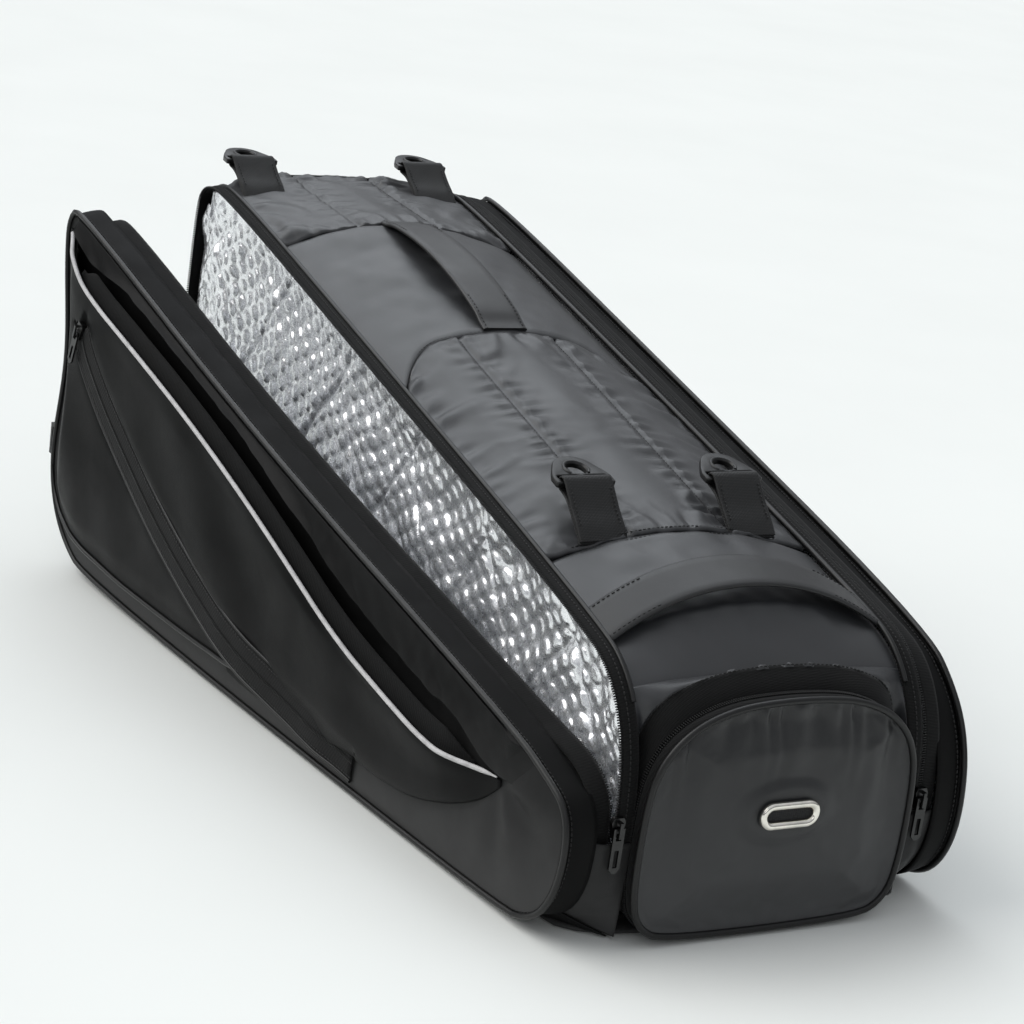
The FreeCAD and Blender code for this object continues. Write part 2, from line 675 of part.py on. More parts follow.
def make_handles():
    """Two arched straps. The middle of each moves; its sewn ends are separate solids on the bag."""
    width = d.webbing_width
    start = (d.roof_x1 + 2, d.roof_z1 + d.crown1 + 6)
    end = (d.roof_x2 - 2, d.roof_z2 + d.crown2 + 6)
    keep(side_plate("long_handle", [handle_band(start, end, d.long_handle_rise, *HANDLE_FREE)],
                    width * 0.5, width), "long_handle")
    sewn = [side_plate(f"LongHandleEnd{i}", [handle_band(start, end, d.long_handle_rise, *share, steps=3)],
                       width * 0.5, width) for i, share in enumerate(HANDLE_SEWN)]
    start = (-d.end_handle_y, as_size(0))
    end = (d.end_handle_y, as_size(0))
    spot = (d.end_handle_x, 0, d.end_handle_z, (0, 1, 0), d.end_handle_tilt)
    arch_band = handle_band(start, end, d.end_handle_rise, *HANDLE_FREE)
    keep(place(end_plate("end_handle", [arch_band], width * -0.5, width), *spot), "end_handle")
    for i, share in enumerate(HANDLE_SEWN):
        band = handle_band(start, end, d.end_handle_rise, *share, steps=3)
        sewn.append(place(end_plate(f"EndHandleEnd{i}", [band], width * -0.5, width), *spot))
    group("handle_ends", sewn)


# ---------------------------------------------------------------- side tab
TAB_EYE_X = 9.0
SIDE_TAB_Z = 92.0


def make_side_tab():
    """A short webbing loop on the left cover's far end, with a plastic buckle through it."""
    wide, thick = d.side_tab_width, d.webbing_thick * 2
    eye = d.far_x - TAB_EYE_X
    mid_y = d.gusset_y - 8
    far_face = d.far_x - d.skin_gap
    band = [(far_face, -1 * wide * 0.5), (far_face, wide * 0.5), (eye - 5, wide * 0.5), (eye - 5, wide * -0.5)]
    band = [(x, z + SIDE_TAB_Z) for x, z in band]
    body = cover_plate("side_tab", -1, [band], mid_y + thick * 0.5, thick)
    doc.recompute()
    reach = as_size(2.5)
    middle = -(mid_y - d.hinge_y)
    corner_x = eye - d.hinge_x
    hole = [(corner_x - reach, middle - reach), (corner_x + reach, middle - reach),
            (corner_x + reach, middle + reach), (corner_x - reach, middle + reach)]
    sketch = outline_sketch(body, "TabEye", "XY_Plane", SIDE_TAB_Z + wide * 0.5 + 1, hole)
    cut_pocket(body, sketch, wide + 2)
    keep(body, "side_tab")
    bar = as_size(1.6)
    half = wide * 0.5 + 0.5
    frame = [(eye + bar, -half - 3), (eye + bar, half + 3), (eye - 15, half + 3), (eye - 15, -half - 3)]
    window = [(eye - bar, -half), (eye - bar, half), (eye - 12, half), (eye - 12, -half)]
    loops = [[(x, z + SIDE_TAB_Z) for x, z in loop] for loop in (frame, window)]
    keep(cover_plate("side_buckle", -1, loops, mid_y + bar, bar * 2), "side_buckle")


# ---------------------------------------------------------------- zip sliders
def make_slider(label, position, turn):
    """A zip slider: a shield-shaped plate and the bridge that its pull hangs from.

    Its own frame has +X along the zip and +Z out of the bag, with the pull's hinge at the origin."""
    half, width = d.slider_length * 0.5, d.slider_width * 0.5
    top = d.bridge_height * -0.5
    body = new_body(label)
    shield = [(-half, width * -0.6), (half - 3, -width), (half, width * -0.7), (half, width * 0.7),
              (half - 3, width), (-half, width * 0.6)]
    add_pad(body, outline_sketch(body, label + "Shield", "XY_Plane", top - d.slider_thick, shield),
            d.slider_thick)
    doc.recompute()
    bar = d.bridge_bar
    reach = as_size(4.0)
    high = d.bridge_height * 0.5
    bridge = [(-reach - bar, top), (-reach - bar, high + bar), (reach + bar, high + bar), (reach + bar, top),
              (reach, top), (reach, high), (-reach, high), (-reach, top)]
    add_pad(body, outline_sketch(body, label + "Bridge", "XZ_Plane", -1.2, bridge), 2.4, "BridgePad")
    body.Placement = FreeCAD.Placement(position, turn)
    return keep(body, label)


def make_pull(label, position, turn):
    """A zip pull: a window round the slider's bridge, its top edge the hinge pin, and a long tab."""
    half = d.pull_width * 0.5
    thick = d.pull_thick
    top = thick * 0.5
    tab = [(top, -half), (top, half), (-d.pull_length + 3, half), (-d.pull_length, half - 2.5),
           (-d.pull_length, -half + 2.5), (-d.pull_length + 3, -half)]
    window = [(-top, -2.0), (-top - 6.6, -2.0), (-top - 6.6, 2.0), (-top, 2.0)]
    grip = [(-d.pull_length + 4, -1.6), (-d.pull_length + 4, 1.6), (-14.0, 1.6), (-14.0, -1.6)]
    body = new_body(label)
    sketch = outline_sketch(body, label + "Outline", "XY_Plane", -top, tab, window, grip)
    add_pad(body, sketch, thick)
    body.Placement = FreeCAD.Placement(position, turn)
    return keep(body, label)


def axes_turn(along, out):
    """The rotation that takes +X to along and +Z to out."""
    return FreeCAD.Rotation(Vector(*along), Vector(), Vector(*out), "ZXY")


SLIDER_LIFT = DIMENSIONS["bridge_height"] / 2 + DIMENSIONS["slider_thick"] + 0.7
ZIP_LINE_Y = DIMENSIONS["core_y"] + DIMENSIONS["tape_width"] + 1.3
SLIDER_Z = 84.0
DOOR_SLIDER_Z = 41.0
POCKET_SLIDER_UP = (0.3, 0, 0.954)


def make_sliders():
    face_x = DIMENSIONS["near_x"] - 2 + SLIDER_LIFT
    for side, label in ((-1, "left"), (1, "right")):
        spot = Vector(face_x, ZIP_LINE_Y * side, SLIDER_Z)
        turn = axes_turn((0, 0, 1), (1, 0, 0))
        make_slider(f"{label}_slider", spot, turn)
        make_pull(f"{label}_pull", spot, turn)
    swing = FreeCAD.Rotation(Vector(0, 0, 1), DIMENSIONS["cover_swing"])
    hinge = Vector(DIMENSIONS["hinge_x"], -DIMENSIONS["hinge_y"], 0)
    depth = DIMENSIONS["side_y"] + DIMENSIONS["pocket_depth"] + 1.9 + SLIDER_LIFT
    local = Vector(SWOOSH[0][0], -depth, SWOOSH[0][1]) - hinge
    spot = hinge + swing.multVec(local)
    turn = swing * axes_turn(POCKET_SLIDER_UP, (0, -1, 0))
    make_slider("pocket_slider", spot, turn)
    make_pull("pocket_pull", spot, turn)
    spot = Vector((DIMENSIONS["dome_x2"] + DIMENSIONS["dome_x3"]) / 2,
                  DIMENSIONS["dome_y"] + SLIDER_LIFT - 0.4, DOOR_SLIDER_Z)
    turn = axes_turn((0, 0, 1), (0, 1, 0))
    make_slider("door_slider", spot, turn)
    make_pull("door_pull", spot, turn)


# ---------------------------------------------------------------- build, check and write
make_base()
make_dividers()
make_roof()
make_far_end()
make_zips()
make_cover(-1, "left")
make_cover(1, "right")
make_pocket()
make_swoosh()
make_shoe_door()
make_eyelet()
make_strap_hooks()
make_handles()
make_side_tab()
make_sliders()
doc.recompute()

faults = [item.Name for item in doc.Objects if "Invalid" in item.State or "Error" in item.State]
if faults:
    raise SystemExit("objects that failed to build: " + ", ".join(faults))
for part in PARTS:
    if part.Shape.isNull() or not part.Shape.isValid() or not part.Shape.Solids:
        raise SystemExit(f"{part.Label}: no valid solid")

os.makedirs("parts", exist_ok=True)
for part in PARTS:
    part.Shape.exportStep(f"parts/{part.Label}.step")
print(f"{len(PARTS)} sub-parts written")
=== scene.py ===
"""Racket tournament bag: the detailed visual model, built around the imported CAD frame.

Lengths are in millimetres in the CAD frame until mesh() turns them into metres.
"""
import json
import math
import bmesh
import bpy
import numpy as np
from mathutils import Matrix, Vector


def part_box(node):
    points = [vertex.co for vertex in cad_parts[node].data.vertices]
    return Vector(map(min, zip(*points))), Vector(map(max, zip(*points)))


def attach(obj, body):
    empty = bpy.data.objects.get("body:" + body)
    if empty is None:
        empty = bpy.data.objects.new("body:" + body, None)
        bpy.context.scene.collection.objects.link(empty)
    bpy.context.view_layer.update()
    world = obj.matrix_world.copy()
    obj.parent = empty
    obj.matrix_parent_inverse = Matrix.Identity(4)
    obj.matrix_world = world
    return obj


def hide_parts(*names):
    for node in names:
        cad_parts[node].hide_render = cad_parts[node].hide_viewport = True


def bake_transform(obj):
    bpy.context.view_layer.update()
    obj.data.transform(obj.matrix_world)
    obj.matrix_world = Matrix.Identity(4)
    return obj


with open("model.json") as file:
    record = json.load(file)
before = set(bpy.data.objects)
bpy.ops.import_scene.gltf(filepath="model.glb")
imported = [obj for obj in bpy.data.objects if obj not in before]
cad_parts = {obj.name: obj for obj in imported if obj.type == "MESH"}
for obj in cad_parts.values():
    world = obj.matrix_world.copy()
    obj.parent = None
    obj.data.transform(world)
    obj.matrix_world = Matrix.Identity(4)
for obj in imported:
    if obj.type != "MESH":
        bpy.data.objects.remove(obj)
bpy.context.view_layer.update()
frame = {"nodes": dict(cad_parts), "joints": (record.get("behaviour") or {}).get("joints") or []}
MM = 0.001
NODES = frame["nodes"]
JOINTS = {joint["name"]: joint for joint in frame["joints"]}


def node_box(node):
    """Lowest and highest corner of a CAD node, in mm."""
    low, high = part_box(node)
    return np.array(low) / MM, np.array(high) / MM


def joint_at(name):
    """A joint's position, in mm."""
    return np.array(JOINTS[name]["pos_m"]) / MM


# ---------------------------------------------------------------- lines
def chaikin(points, closed, rounds):
    """Rounds a polyline's corners."""
    points = np.asarray(points, float)
    for _ in range(rounds):
        after = np.roll(points, -1, 0) if closed else points[1:]
        before = points if closed else points[:-1]
        new = np.empty((2 * len(before), points.shape[1]))
        new[0::2] = before * 0.75 + after * 0.25
        new[1::2] = before * 0.25 + after * 0.75
        points = new if closed else np.vstack([points[:1], new, points[-1:]])
    return points


def resample(points, count, closed=False):
    """The same line as count evenly spaced points."""
    points = np.asarray(points, float)
    if closed:
        points = np.vstack([points, points[:1]])
    steps = np.linalg.norm(np.diff(points, axis=0), axis=1)
    along = np.concatenate([[0], np.cumsum(steps)])
    wanted = np.linspace(0, along[-1], count + 1 if closed else count)
    out = np.column_stack([np.interp(wanted, along, points[:, k]) for k in range(points.shape[1])])
    return out[:-1] if closed else out


def line_length(points):
    """A polyline's length."""
    return float(np.linalg.norm(np.diff(points, axis=0), axis=1).sum())


def smooth_line(points, step, closed=False, rounds=3):
    """A rounded line with a point about every step."""
    line = chaikin(points, closed, rounds)
    whole = line_length(np.vstack([line, line[:1]]) if closed else line)
    return resample(line, max(4, int(whole / step)), closed)


def unit(vectors):
    """The same directions at length one."""
    return vectors / np.linalg.norm(vectors, axis=-1, keepdims=True)


def tangents(line, closed=False):
    """Unit directions along a line."""
    if closed:
        run = np.roll(line, -1, 0) - np.roll(line, 1, 0)
    else:
        run = np.gradient(line, axis=0)
    return run / (np.linalg.norm(run, axis=1, keepdims=True) + 1e-9)


def normals_2d(line, closed=False, centre=(0, 130)):
    """Outward normals of a line in a plane."""
    run = tangents(line, closed)
    normal = np.column_stack([run[:, 1], -run[:, 0]])
    sign = np.sign(np.sum(normal * (line - np.array(centre))))
    return normal * sign


def smoothstep(low, high, value):
    """0 below low, 1 above high, and a smooth rise between."""
    t = np.clip((np.asarray(value, float) - low) / (high - low), 0, 1)
    return t * t * (3 - 2 * t)


def ripple(a, b, size, seed, octaves=3):
    """A smooth pseudo-random field over two coordinates, about -1 to 1."""
    rng = np.random.default_rng(seed)
    total = np.zeros(np.broadcast(a, b).shape)
    weight = 0.0
    for octave in range(octaves):
        strength = 0.6 ** octave
        for _ in range(5):
            angle = rng.uniform(0, 2 * math.pi)
            phase = rng.uniform(0, 2 * math.pi)
            scale = 2 * math.pi / (size / 1.9 ** octave) * rng.uniform(0.7, 1.3)
            wave = np.sin((a * math.cos(angle) + b * math.sin(angle)) * scale + phase)
            total = total + wave * strength
        weight += strength * 2.4
    return total / weight


# ---------------------------------------------------------------- meshes
SHEETS = []
PADDED = []


def grid_area(points):
    """The area of a grid of points, in square mm."""
    first = points[:-1, 1:] - points[:-1, :-1]
    second = points[1:, :-1] - points[:-1, :-1]
    return float(np.linalg.norm(np.cross(first, second), axis=2).sum())


def note_sheet(obj, points):
    """Remembers a cloth piece with its flat cut: its widest run, its longest run and its area."""
    uv = grid_uv(points).reshape(*points.shape[:2], 2)
    width, length = float(uv[:, -1, 0].max()), float(uv[-1, :, 1].max())
    SHEETS.append((obj, width, length, min(grid_area(points), width * length)))
    return obj


def declare_sheets():
    """Goes over the cloth pieces and skips the padded ones; nothing else is done with them."""
    for obj, width, length, area in SHEETS:
        if obj in PADDED:
            continue


def link(name, data):
    """A new object in the scene."""
    obj = bpy.data.objects.new(name, data)
    bpy.context.scene.collection.objects.link(obj)
    return obj


def mesh(name, verts, faces, material, uv=None):
    """A mesh object from points in mm and faces."""
    data = bpy.data.meshes.new(name)
    corners = [list(map(int, face)) for face in faces]
    data.from_pydata((np.asarray(verts, float) * MM).tolist(), [], corners)
    if uv is not None:
        layer = data.uv_layers.new(name="UVMap")
        index = np.empty(len(data.loops), np.int32)
        data.loops.foreach_get("vertex_index", index)
        layer.data.foreach_set("uv", (np.asarray(uv) * MM)[index].astype(np.float32).ravel())
    data.materials.append(material)
    data.polygons.foreach_set("use_smooth", np.full(len(data.polygons), True))
    data.update()
    return link(name, data)


def quads(rows, cols, base=0, flip=False):
    """The faces of a grid of points."""
    start = (np.arange(rows - 1)[:, None] * cols + np.arange(cols - 1)[None]).ravel() + base
    faces = np.column_stack([start, start + 1, start + cols + 1, start + cols])
    return faces[:, ::-1] if flip else faces


def grid_normals(points):
    across = np.cross(np.gradient(points, axis=0), np.gradient(points, axis=1))
    return across / (np.linalg.norm(across, axis=2, keepdims=True) + 1e-9)


def grid_uv(points):
    """Each point's run along the columns and along the rows, in mm."""
    rows, cols = points.shape[:2]
    uv = np.zeros((rows, cols, 2))
    uv[:, 1:, 0] = np.cumsum(np.linalg.norm(np.diff(points, axis=1), axis=2), axis=1)
    uv[1:, :, 1] = np.cumsum(np.linalg.norm(np.diff(points, axis=0), axis=2), axis=0)
    return uv.reshape(-1, 2)


def facing(points, out):
    """The grid turned over if its normals don't point along out."""
    mean = grid_normals(points).mean((0, 1))
    return points if np.dot(mean, out) > 0 else points[:, ::-1]


def shell(name, points, thick, material, out):
    """A closed thin sheet whose outer face is the grid, its normals along out."""
    points = facing(points, out)
    rows, cols = points.shape[:2]
    total = rows * cols
    inner = points - grid_normals(points) * thick
    verts = np.vstack([points.reshape(-1, 3), inner.reshape(-1, 3)])
    index = np.arange(total).reshape(rows, cols)
    loop = np.concatenate([index[0, :-1], index[:-1, -1], index[-1, :0:-1], index[:0:-1, 0]])
    after = np.roll(loop, -1)
    rim = np.column_stack([after, loop, loop + total, after + total])
    faces = np.vstack([quads(rows, cols, 0, True), quads(rows, cols, total), rim[:, ::-1]])
    uv = grid_uv(points)
    return note_sheet(mesh(name, verts, faces[:, ::-1], material, np.vstack([uv, uv])), points)


def sweep(name, path, normal, side, section, material, closed=False, taper=None):
    """A solid band: a closed section (along normal, along side) carried along a path."""
    section = np.asarray(section, float)
    section = np.vstack([section, section[:1]])
    side = np.broadcast_to(np.asarray(side, float), path.shape)
    if closed:
        path = np.vstack([path, path[:1]])
        normal = np.vstack([normal, normal[:1]])
        side = np.vstack([side, side[:1]])
    count = len(path)
    size = np.ones(count) if taper is None else taper
    points = (path[:, None] + normal[:, None] * (section[None, :, :1] * size[:, None, None])
              + side[:, None] * (section[None, :, 1:] * size[:, None, None]))
    cols = len(section)
    faces = quads(count, cols).tolist()
    if not closed:
        faces.append(list(range(cols - 1)))
        faces.append([(count - 1) * cols + k for k in range(cols - 2, -1, -1)])
    obj = tidy_normals(mesh(name, points.reshape(-1, 3), faces, material, grid_uv(points)))
    obj.data.set_sharp_from_angle(angle=math.radians(68))
    return obj


def tidy_normals(obj):
    """Joins doubled points and turns every face outwards."""
    work = bmesh.new()
    work.from_mesh(obj.data)
    bmesh.ops.remove_doubles(work, verts=work.verts, dist=1e-6)
    bmesh.ops.recalc_face_normals(work, faces=work.faces)
    work.to_mesh(obj.data)
    work.free()
    return obj


def circle(radius, count, centre=(0, 0)):
    """A closed ring of points."""
    turn = np.linspace(0, 2 * math.pi, count, endpoint=False)
    return np.column_stack([centre[0] + radius * np.cos(turn), centre[1] + radius * np.sin(turn)])


def flat_section(width, thick):
    """A strap's section: thin along the normal, wide along the side."""
    half, flat = width / 2, thick / 2
    edge = flat * 1.2
    cross = np.linspace(-half + edge, half - edge, 7)
    upper = [(flat, y) for y in cross]
    lower = [(-flat, y) for y in cross[::-1]]
    corner = half - edge * 0.25
    right = [(flat * 0.6, corner), (0, half), (-flat * 0.6, corner)]
    left = [(-flat * 0.6, -corner), (0, -half), (flat * 0.6, -corner)]
    return upper + right + lower + left


def box_parts(name, frames, size, material):
    """Many small rounded blocks, one per frame (centre, along, normal, side), as one mesh."""
    corners = np.array([(-1, -.55, -.55), (-1, .55, -.55), (-1, .55, .55), (-1, -.55, .55),
                        (-.45, -1, -1), (-.45, 1, -1), (-.45, 1, 1), (-.45, -1, 1),
                        (.45, -1, -1), (.45, 1, -1), (.45, 1, 1), (.45, -1, 1),
                        (1, -.55, -.55), (1, .55, -.55), (1, .55, .55), (1, -.55, .55)], float)
    local = corners * (np.asarray(size, float) / 2)
    hexes = [(0, 3, 2, 1), (12, 13, 14, 15)]
    for ring in range(3):
        for k in range(4):
            a, b = ring * 4 + k, ring * 4 + (k + 1) % 4
            hexes.append((a, b, b + 4, a + 4))
    centre, along, normal, side = [np.asarray(part, float) for part in frames]
    verts = (centre[:, None] + along[:, None] * local[None, :, :1] + normal[:, None] * local[None, :, 1:2]
             + side[:, None] * local[None, :, 2:])
    base = (np.arange(len(centre)) * 16)[:, None, None]
    faces = (np.array(hexes)[None] + base).reshape(-1, 4)
    uv = np.tile(local[:, :2] + 2, (len(centre), 1))
    return tidy_normals(mesh(name, verts.reshape(-1, 3), faces, material, uv))


def stitches(name, path, normal, body="bag", slot="bag_fabric", pitch=3.4, length=2.4):
    """A row of thread stitches lying on a path and riding on a body."""
    radius = 0.32
    count = max(3, int(line_length(path) / pitch))
    joined = resample(np.hstack([path, normal]), count)
    spots, up = joined[:, :3], joined[:, 3:]
    along = tangents(spots)
    up = up / (np.linalg.norm(up, axis=1, keepdims=True) + 1e-9)
    side = np.cross(along, up)
    row = box_parts(name, (spots, along, up, side), (length, radius * 2, radius * 2.4), THREAD)
    finish_piece(row, body, slot)


def plate(name, loops, thick, bevel, material, place):
    """A moulded plate with rounded edges, from an outline in mm and the outlines of its holes."""
    curve = bpy.data.curves.new(name + "_curve", "CURVE")
    curve.dimensions = "2D"
    curve.fill_mode = "BOTH"
    curve.extrude = (thick / 2 - bevel) * MM
    curve.bevel_depth = bevel * MM
    curve.bevel_resolution = 2
    curve.offset = -bevel * MM
    for loop in loops:
        spline = curve.splines.new("POLY")
        spline.points.add(len(loop) - 1)
        for point, (a, b) in zip(spline.points, loop):
            point.co = (a * MM, b * MM, 0, 1)
        spline.use_cyclic_u = True
    carrier = link(name + "_carrier", curve)
    bpy.context.view_layer.update()
    evaluated = carrier.evaluated_get(bpy.context.evaluated_depsgraph_get())
    data = bpy.data.meshes.new_from_object(evaluated)
    bpy.data.objects.remove(carrier)
    data.transform(place)
    data.materials.clear()
    data.materials.append(material)
    obj = tidy_normals(link(name, data))
    data.polygons.foreach_set("use_smooth", np.full(len(data.polygons), True))
    data.set_sharp_from_angle(angle=math.radians(40))
    return obj


def soften(node, width, material, segments=2):
    """A carried-over CAD node with rounded edges and a detailed material."""
    obj = NODES[node]
    obj.data.materials.clear()
    obj.data.materials.append(material)
    if width:
        bevel = obj.modifiers.new("Rounded", "BEVEL")
        bevel.width = width * MM
        bevel.segments = segments
        bevel.limit_method = "ANGLE"
        bevel.angle_limit = math.radians(35)
        bevel.harden_normals = False
    obj.data.polygons.foreach_set("use_smooth", np.full(len(obj.data.polygons), True))
    obj.data.set_sharp_from_angle(angle=math.radians(50))
    return obj


def puff(points, pinned, pressure, cap, slack=0.03, frames=18):
    """Cloth simulation of a stuffed panel: pinned points stay, the rest swell by at most cap mm."""
    rows, cols = points.shape[:2]
    obj = mesh("PuffWork", points.reshape(-1, 3), quads(rows, cols), bpy.data.materials[0])
    group = obj.vertex_groups.new(name="Pin")
    group.add([int(i) for i in np.flatnonzero(pinned.ravel())], 1.0, "REPLACE")
    cloth = obj.modifiers.new("Cloth", "CLOTH")
    cloth.settings.quality = 6
    cloth.settings.mass = 0.25
    cloth.settings.tension_stiffness = 12
    cloth.settings.compression_stiffness = 12
    cloth.settings.bending_stiffness = 6.0
    cloth.settings.shrink_min = -slack
    cloth.settings.vertex_group_mass = "Pin"
    cloth.settings.use_pressure = True
    cloth.settings.uniform_pressure_force = pressure
    cloth.settings.effector_weights.gravity = 0
    cloth.collision_settings.use_collision = False
    cloth.point_cache.frame_start = 1
    cloth.point_cache.frame_end = frames
    scene = bpy.context.scene
    for number in range(1, frames + 1):
        scene.frame_set(number)
    evaluated = obj.evaluated_get(bpy.context.evaluated_depsgraph_get())
    moved = np.empty(rows * cols * 3, np.float32)
    evaluated.data.vertices.foreach_get("co", moved)
    moved = moved.reshape(rows, cols, 3) / MM
    bpy.data.objects.remove(obj)
    scene.frame_set(1)
    shift = moved - points
    size = np.linalg.norm(shift, axis=2, keepdims=True)
    limited = cap * np.tanh(size / cap)
    return points + shift / (size + 1e-9) * limited


def finish_piece(obj, body, slot, *replaced):
    """Puts a piece on its body and hides the CAD nodes it stands for; the slot is not used."""
    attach(obj, body)
    if replaced:
        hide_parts(*replaced)
    return obj


# ---------------------------------------------------------------- materials
class Look:
    """A node material being built."""

    def __init__(self, name, **sockets):
        self.material = bpy.data.materials.new(name)
        self.material.use_nodes = True
        self.tree = self.material.node_tree
        self.shader = self.tree.nodes["Principled BSDF"]
        for socket, value in sockets.items():
            self.shader.inputs[socket.replace("_", " ")].default_value = value
        self.coords = self.node("ShaderNodeTexCoord")

    def node(self, kind, links=None, **values):
        node = self.tree.nodes.new(kind)
        for key, value in values.items():
            setattr(node, key, value)
        for socket, value in (links or {}).items():
            if isinstance(value, bpy.types.NodeSocket):
                self.tree.links.new(value, node.inputs[socket])
            else:
                node.inputs[socket].default_value = value
        return node

    def noise(self, scale, detail=4.0, rough=0.55, distortion=0.0, stretch=None):
        vector = self.coords.outputs["Object"]
        if stretch:
            vector = self.node("ShaderNodeMapping", {"Vector": vector, "Scale": stretch}).outputs[0]
        made = self.node("ShaderNodeTexNoise", {"Vector": vector, "Scale": scale, "Detail": detail,
                                                "Roughness": rough, "Distortion": distortion})
        return made.outputs["Fac"]

    def cells(self, scale, randomness):
        """The distance to the nearest cell's middle."""
        links = {"Vector": self.coords.outputs["Object"], "Scale": scale, "Randomness": randomness}
        made = self.node("ShaderNodeTexVoronoi", links)
        return made.outputs["Distance"]

    def math(self, operation, *values):
        node = self.node("ShaderNodeMath", operation=operation)
        for socket, value in zip(node.inputs, values):
            if isinstance(value, bpy.types.NodeSocket):
                self.tree.links.new(value, socket)
            else:
                socket.default_value = value
        return node.outputs[0]

    def stripes(self, pitch_mm, u=0.0, v=1.0):
        """A sine of the UV run, one cycle every pitch."""
        split = self.node("ShaderNodeSeparateXYZ", {"Vector": self.coords.outputs["UV"]})
        turn = 2 * math.pi / (pitch_mm * MM)
        across = self.math("MULTIPLY", split.outputs[0], u * turn)
        total = self.math("MULTIPLY_ADD", split.outputs[1], v * turn, across)
        return self.math("MULTIPLY_ADD", self.math("SINE", total), 0.5, 0.5)

    def ramp(self, value, *stops):
        """Colours or greys at places along a value."""
        made = self.node("ShaderNodeValToRGB", {"Fac": value})
        elements = made.color_ramp.elements
        while len(elements) < len(stops):
            elements.new(0.5)
        for element, (place, colour) in zip(elements, stops):
            element.position = place
            element.color = (*colour, 1) if hasattr(colour, "__len__") else (colour, colour, colour, 1)
        return made.outputs["Color"]

    def colour(self, value, *stops):
        self.tree.links.new(self.ramp(value, *stops), self.shader.inputs["Base Color"])

    def rough(self, value, low, high):
        grey = self.ramp(value, (0.25, low), (0.75, high))
        self.tree.links.new(grey, self.shader.inputs["Roughness"])

    def bump(self, *layers):
        """Layers of (height, strength, distance in mm), laid over each other."""
        normal = None
        for height, strength, depth in layers:
            links = {"Height": height, "Strength": strength, "Distance": depth * MM}
            if normal is not None:
                links["Normal"] = normal
            normal = self.node("ShaderNodeBump", links).outputs[0]
        self.tree.links.new(normal, self.shader.inputs["Normal"])
        return self


def grey(value, tint=0.0):
    return (value, value * (1 + tint * 0.3), value * (1 + tint))


def coated_fabric(name, tone, rough, spec, sheen=0.0, tint=0.06, uv=True, painted_low_light=0.0):
    """Smooth coated nylon: a plain weave under a soft film, mottled, with painted light making it paler
    towards the floor.
    """
    look = Look(name, Specular_IOR_Level=spec, Sheen_Weight=sheen, Sheen_Roughness=0.4)
    mottle = look.noise(28.0, 5.0, 0.6)
    grain = look.noise(1500.0, 2.0, 0.6)
    mix = look.math("MULTIPLY_ADD", grain, 0.35, look.math("MULTIPLY", mottle, 0.65))
    fabric = look.ramp(mix, (0.3, grey(tone * 0.8, tint)), (0.55, grey(tone, tint)),
                       (0.75, grey(tone * 1.25, tint)))
    # Painted light: the colour turns paler towards the floor, broken up by the mottle, standing in for light
    # from the front and the floor.
    if painted_low_light:
        height = look.node("ShaderNodeSeparateXYZ", {"Vector": look.coords.outputs["Object"]}).outputs[2]
        painted_light_height = look.math("MULTIPLY_ADD", mottle, 0.05, height)
        low = look.ramp(look.math("MULTIPLY", painted_light_height, 4.0), (0.16, 1.0), (0.6, 0.0))
        fabric = look.node("ShaderNodeMix", {0: low, 6: fabric, 7: (*grey(painted_low_light, tint), 1)},
                           data_type="RGBA").outputs[2]
    look.tree.links.new(fabric, look.shader.inputs["Base Color"])
    look.rough(mottle, *rough)
    layers = [(look.noise(60.0, 4.0, 0.6), 0.12, 1.0), (grain, 0.22, 0.12)]
    if uv:
        weave = look.math("MULTIPLY", look.stripes(0.55, 1, 0), look.stripes(0.55, 0, 1))
        layers.append((weave, 0.25, 0.08))
    look.bump(*layers)
    return look.material


def woven(name, tone, pitch, twill, rough, depth, spec=0.25):
    """Webbing or zip tape: ribs across with a twill running along, and fuzz."""
    look = Look(name, Specular_IOR_Level=spec, Sheen_Weight=0.04, Sheen_Roughness=0.5)
    fuzz = look.noise(900.0, 3.0, 0.7)
    dust = look.noise(40.0, 4.0, 0.6)
    ribs = look.stripes(pitch, 0.0, 1.0)
    slant = look.stripes(pitch * 1.6, twill, 0.8)
    height = look.math("MULTIPLY_ADD", ribs, 0.5, look.math("MULTIPLY", slant, 0.5))
    mix = look.math("MULTIPLY_ADD", height, 0.5, look.math("MULTIPLY", fuzz, 0.5))
    # Painted shade and light: the colour is darker in the grooves between the ribs and paler on their tops;
    # the fuzz adds random tone.
    look.colour(mix, (0.2, grey(tone * 0.45)), (0.5, grey(tone)), (0.8, grey(tone * 1.7)))
    look.rough(dust, *rough)
    look.bump((height, 0.7, depth), (fuzz, 0.4, 0.15))
    return look.material


def moulded(name, tone, rough, spec=0.5, grain=0.12, metallic=0.0, tint=0.0):
    """Moulded plastic or plated metal with faint flow marks and fine scratches."""
    look = Look(name, Specular_IOR_Level=spec, Metallic=metallic)
    cloud = look.noise(90.0, 4.0, 0.6)
    scratch = look.noise(60.0, 6.0, 0.7, stretch=(1, 14, 3))
    look.colour(cloud, (0.3, grey(tone * 0.85, tint)), (0.7, grey(tone * 1.15, tint)))
    look.rough(look.math("MULTIPLY_ADD", scratch, 0.6, look.math("MULTIPLY", cloud, 0.4)),
               rough * 0.8, rough * 1.3)
    look.bump((look.noise(1800.0, 2.0, 0.6), grain, 0.05), (scratch, grain * 0.6, 0.05))
    return look.material


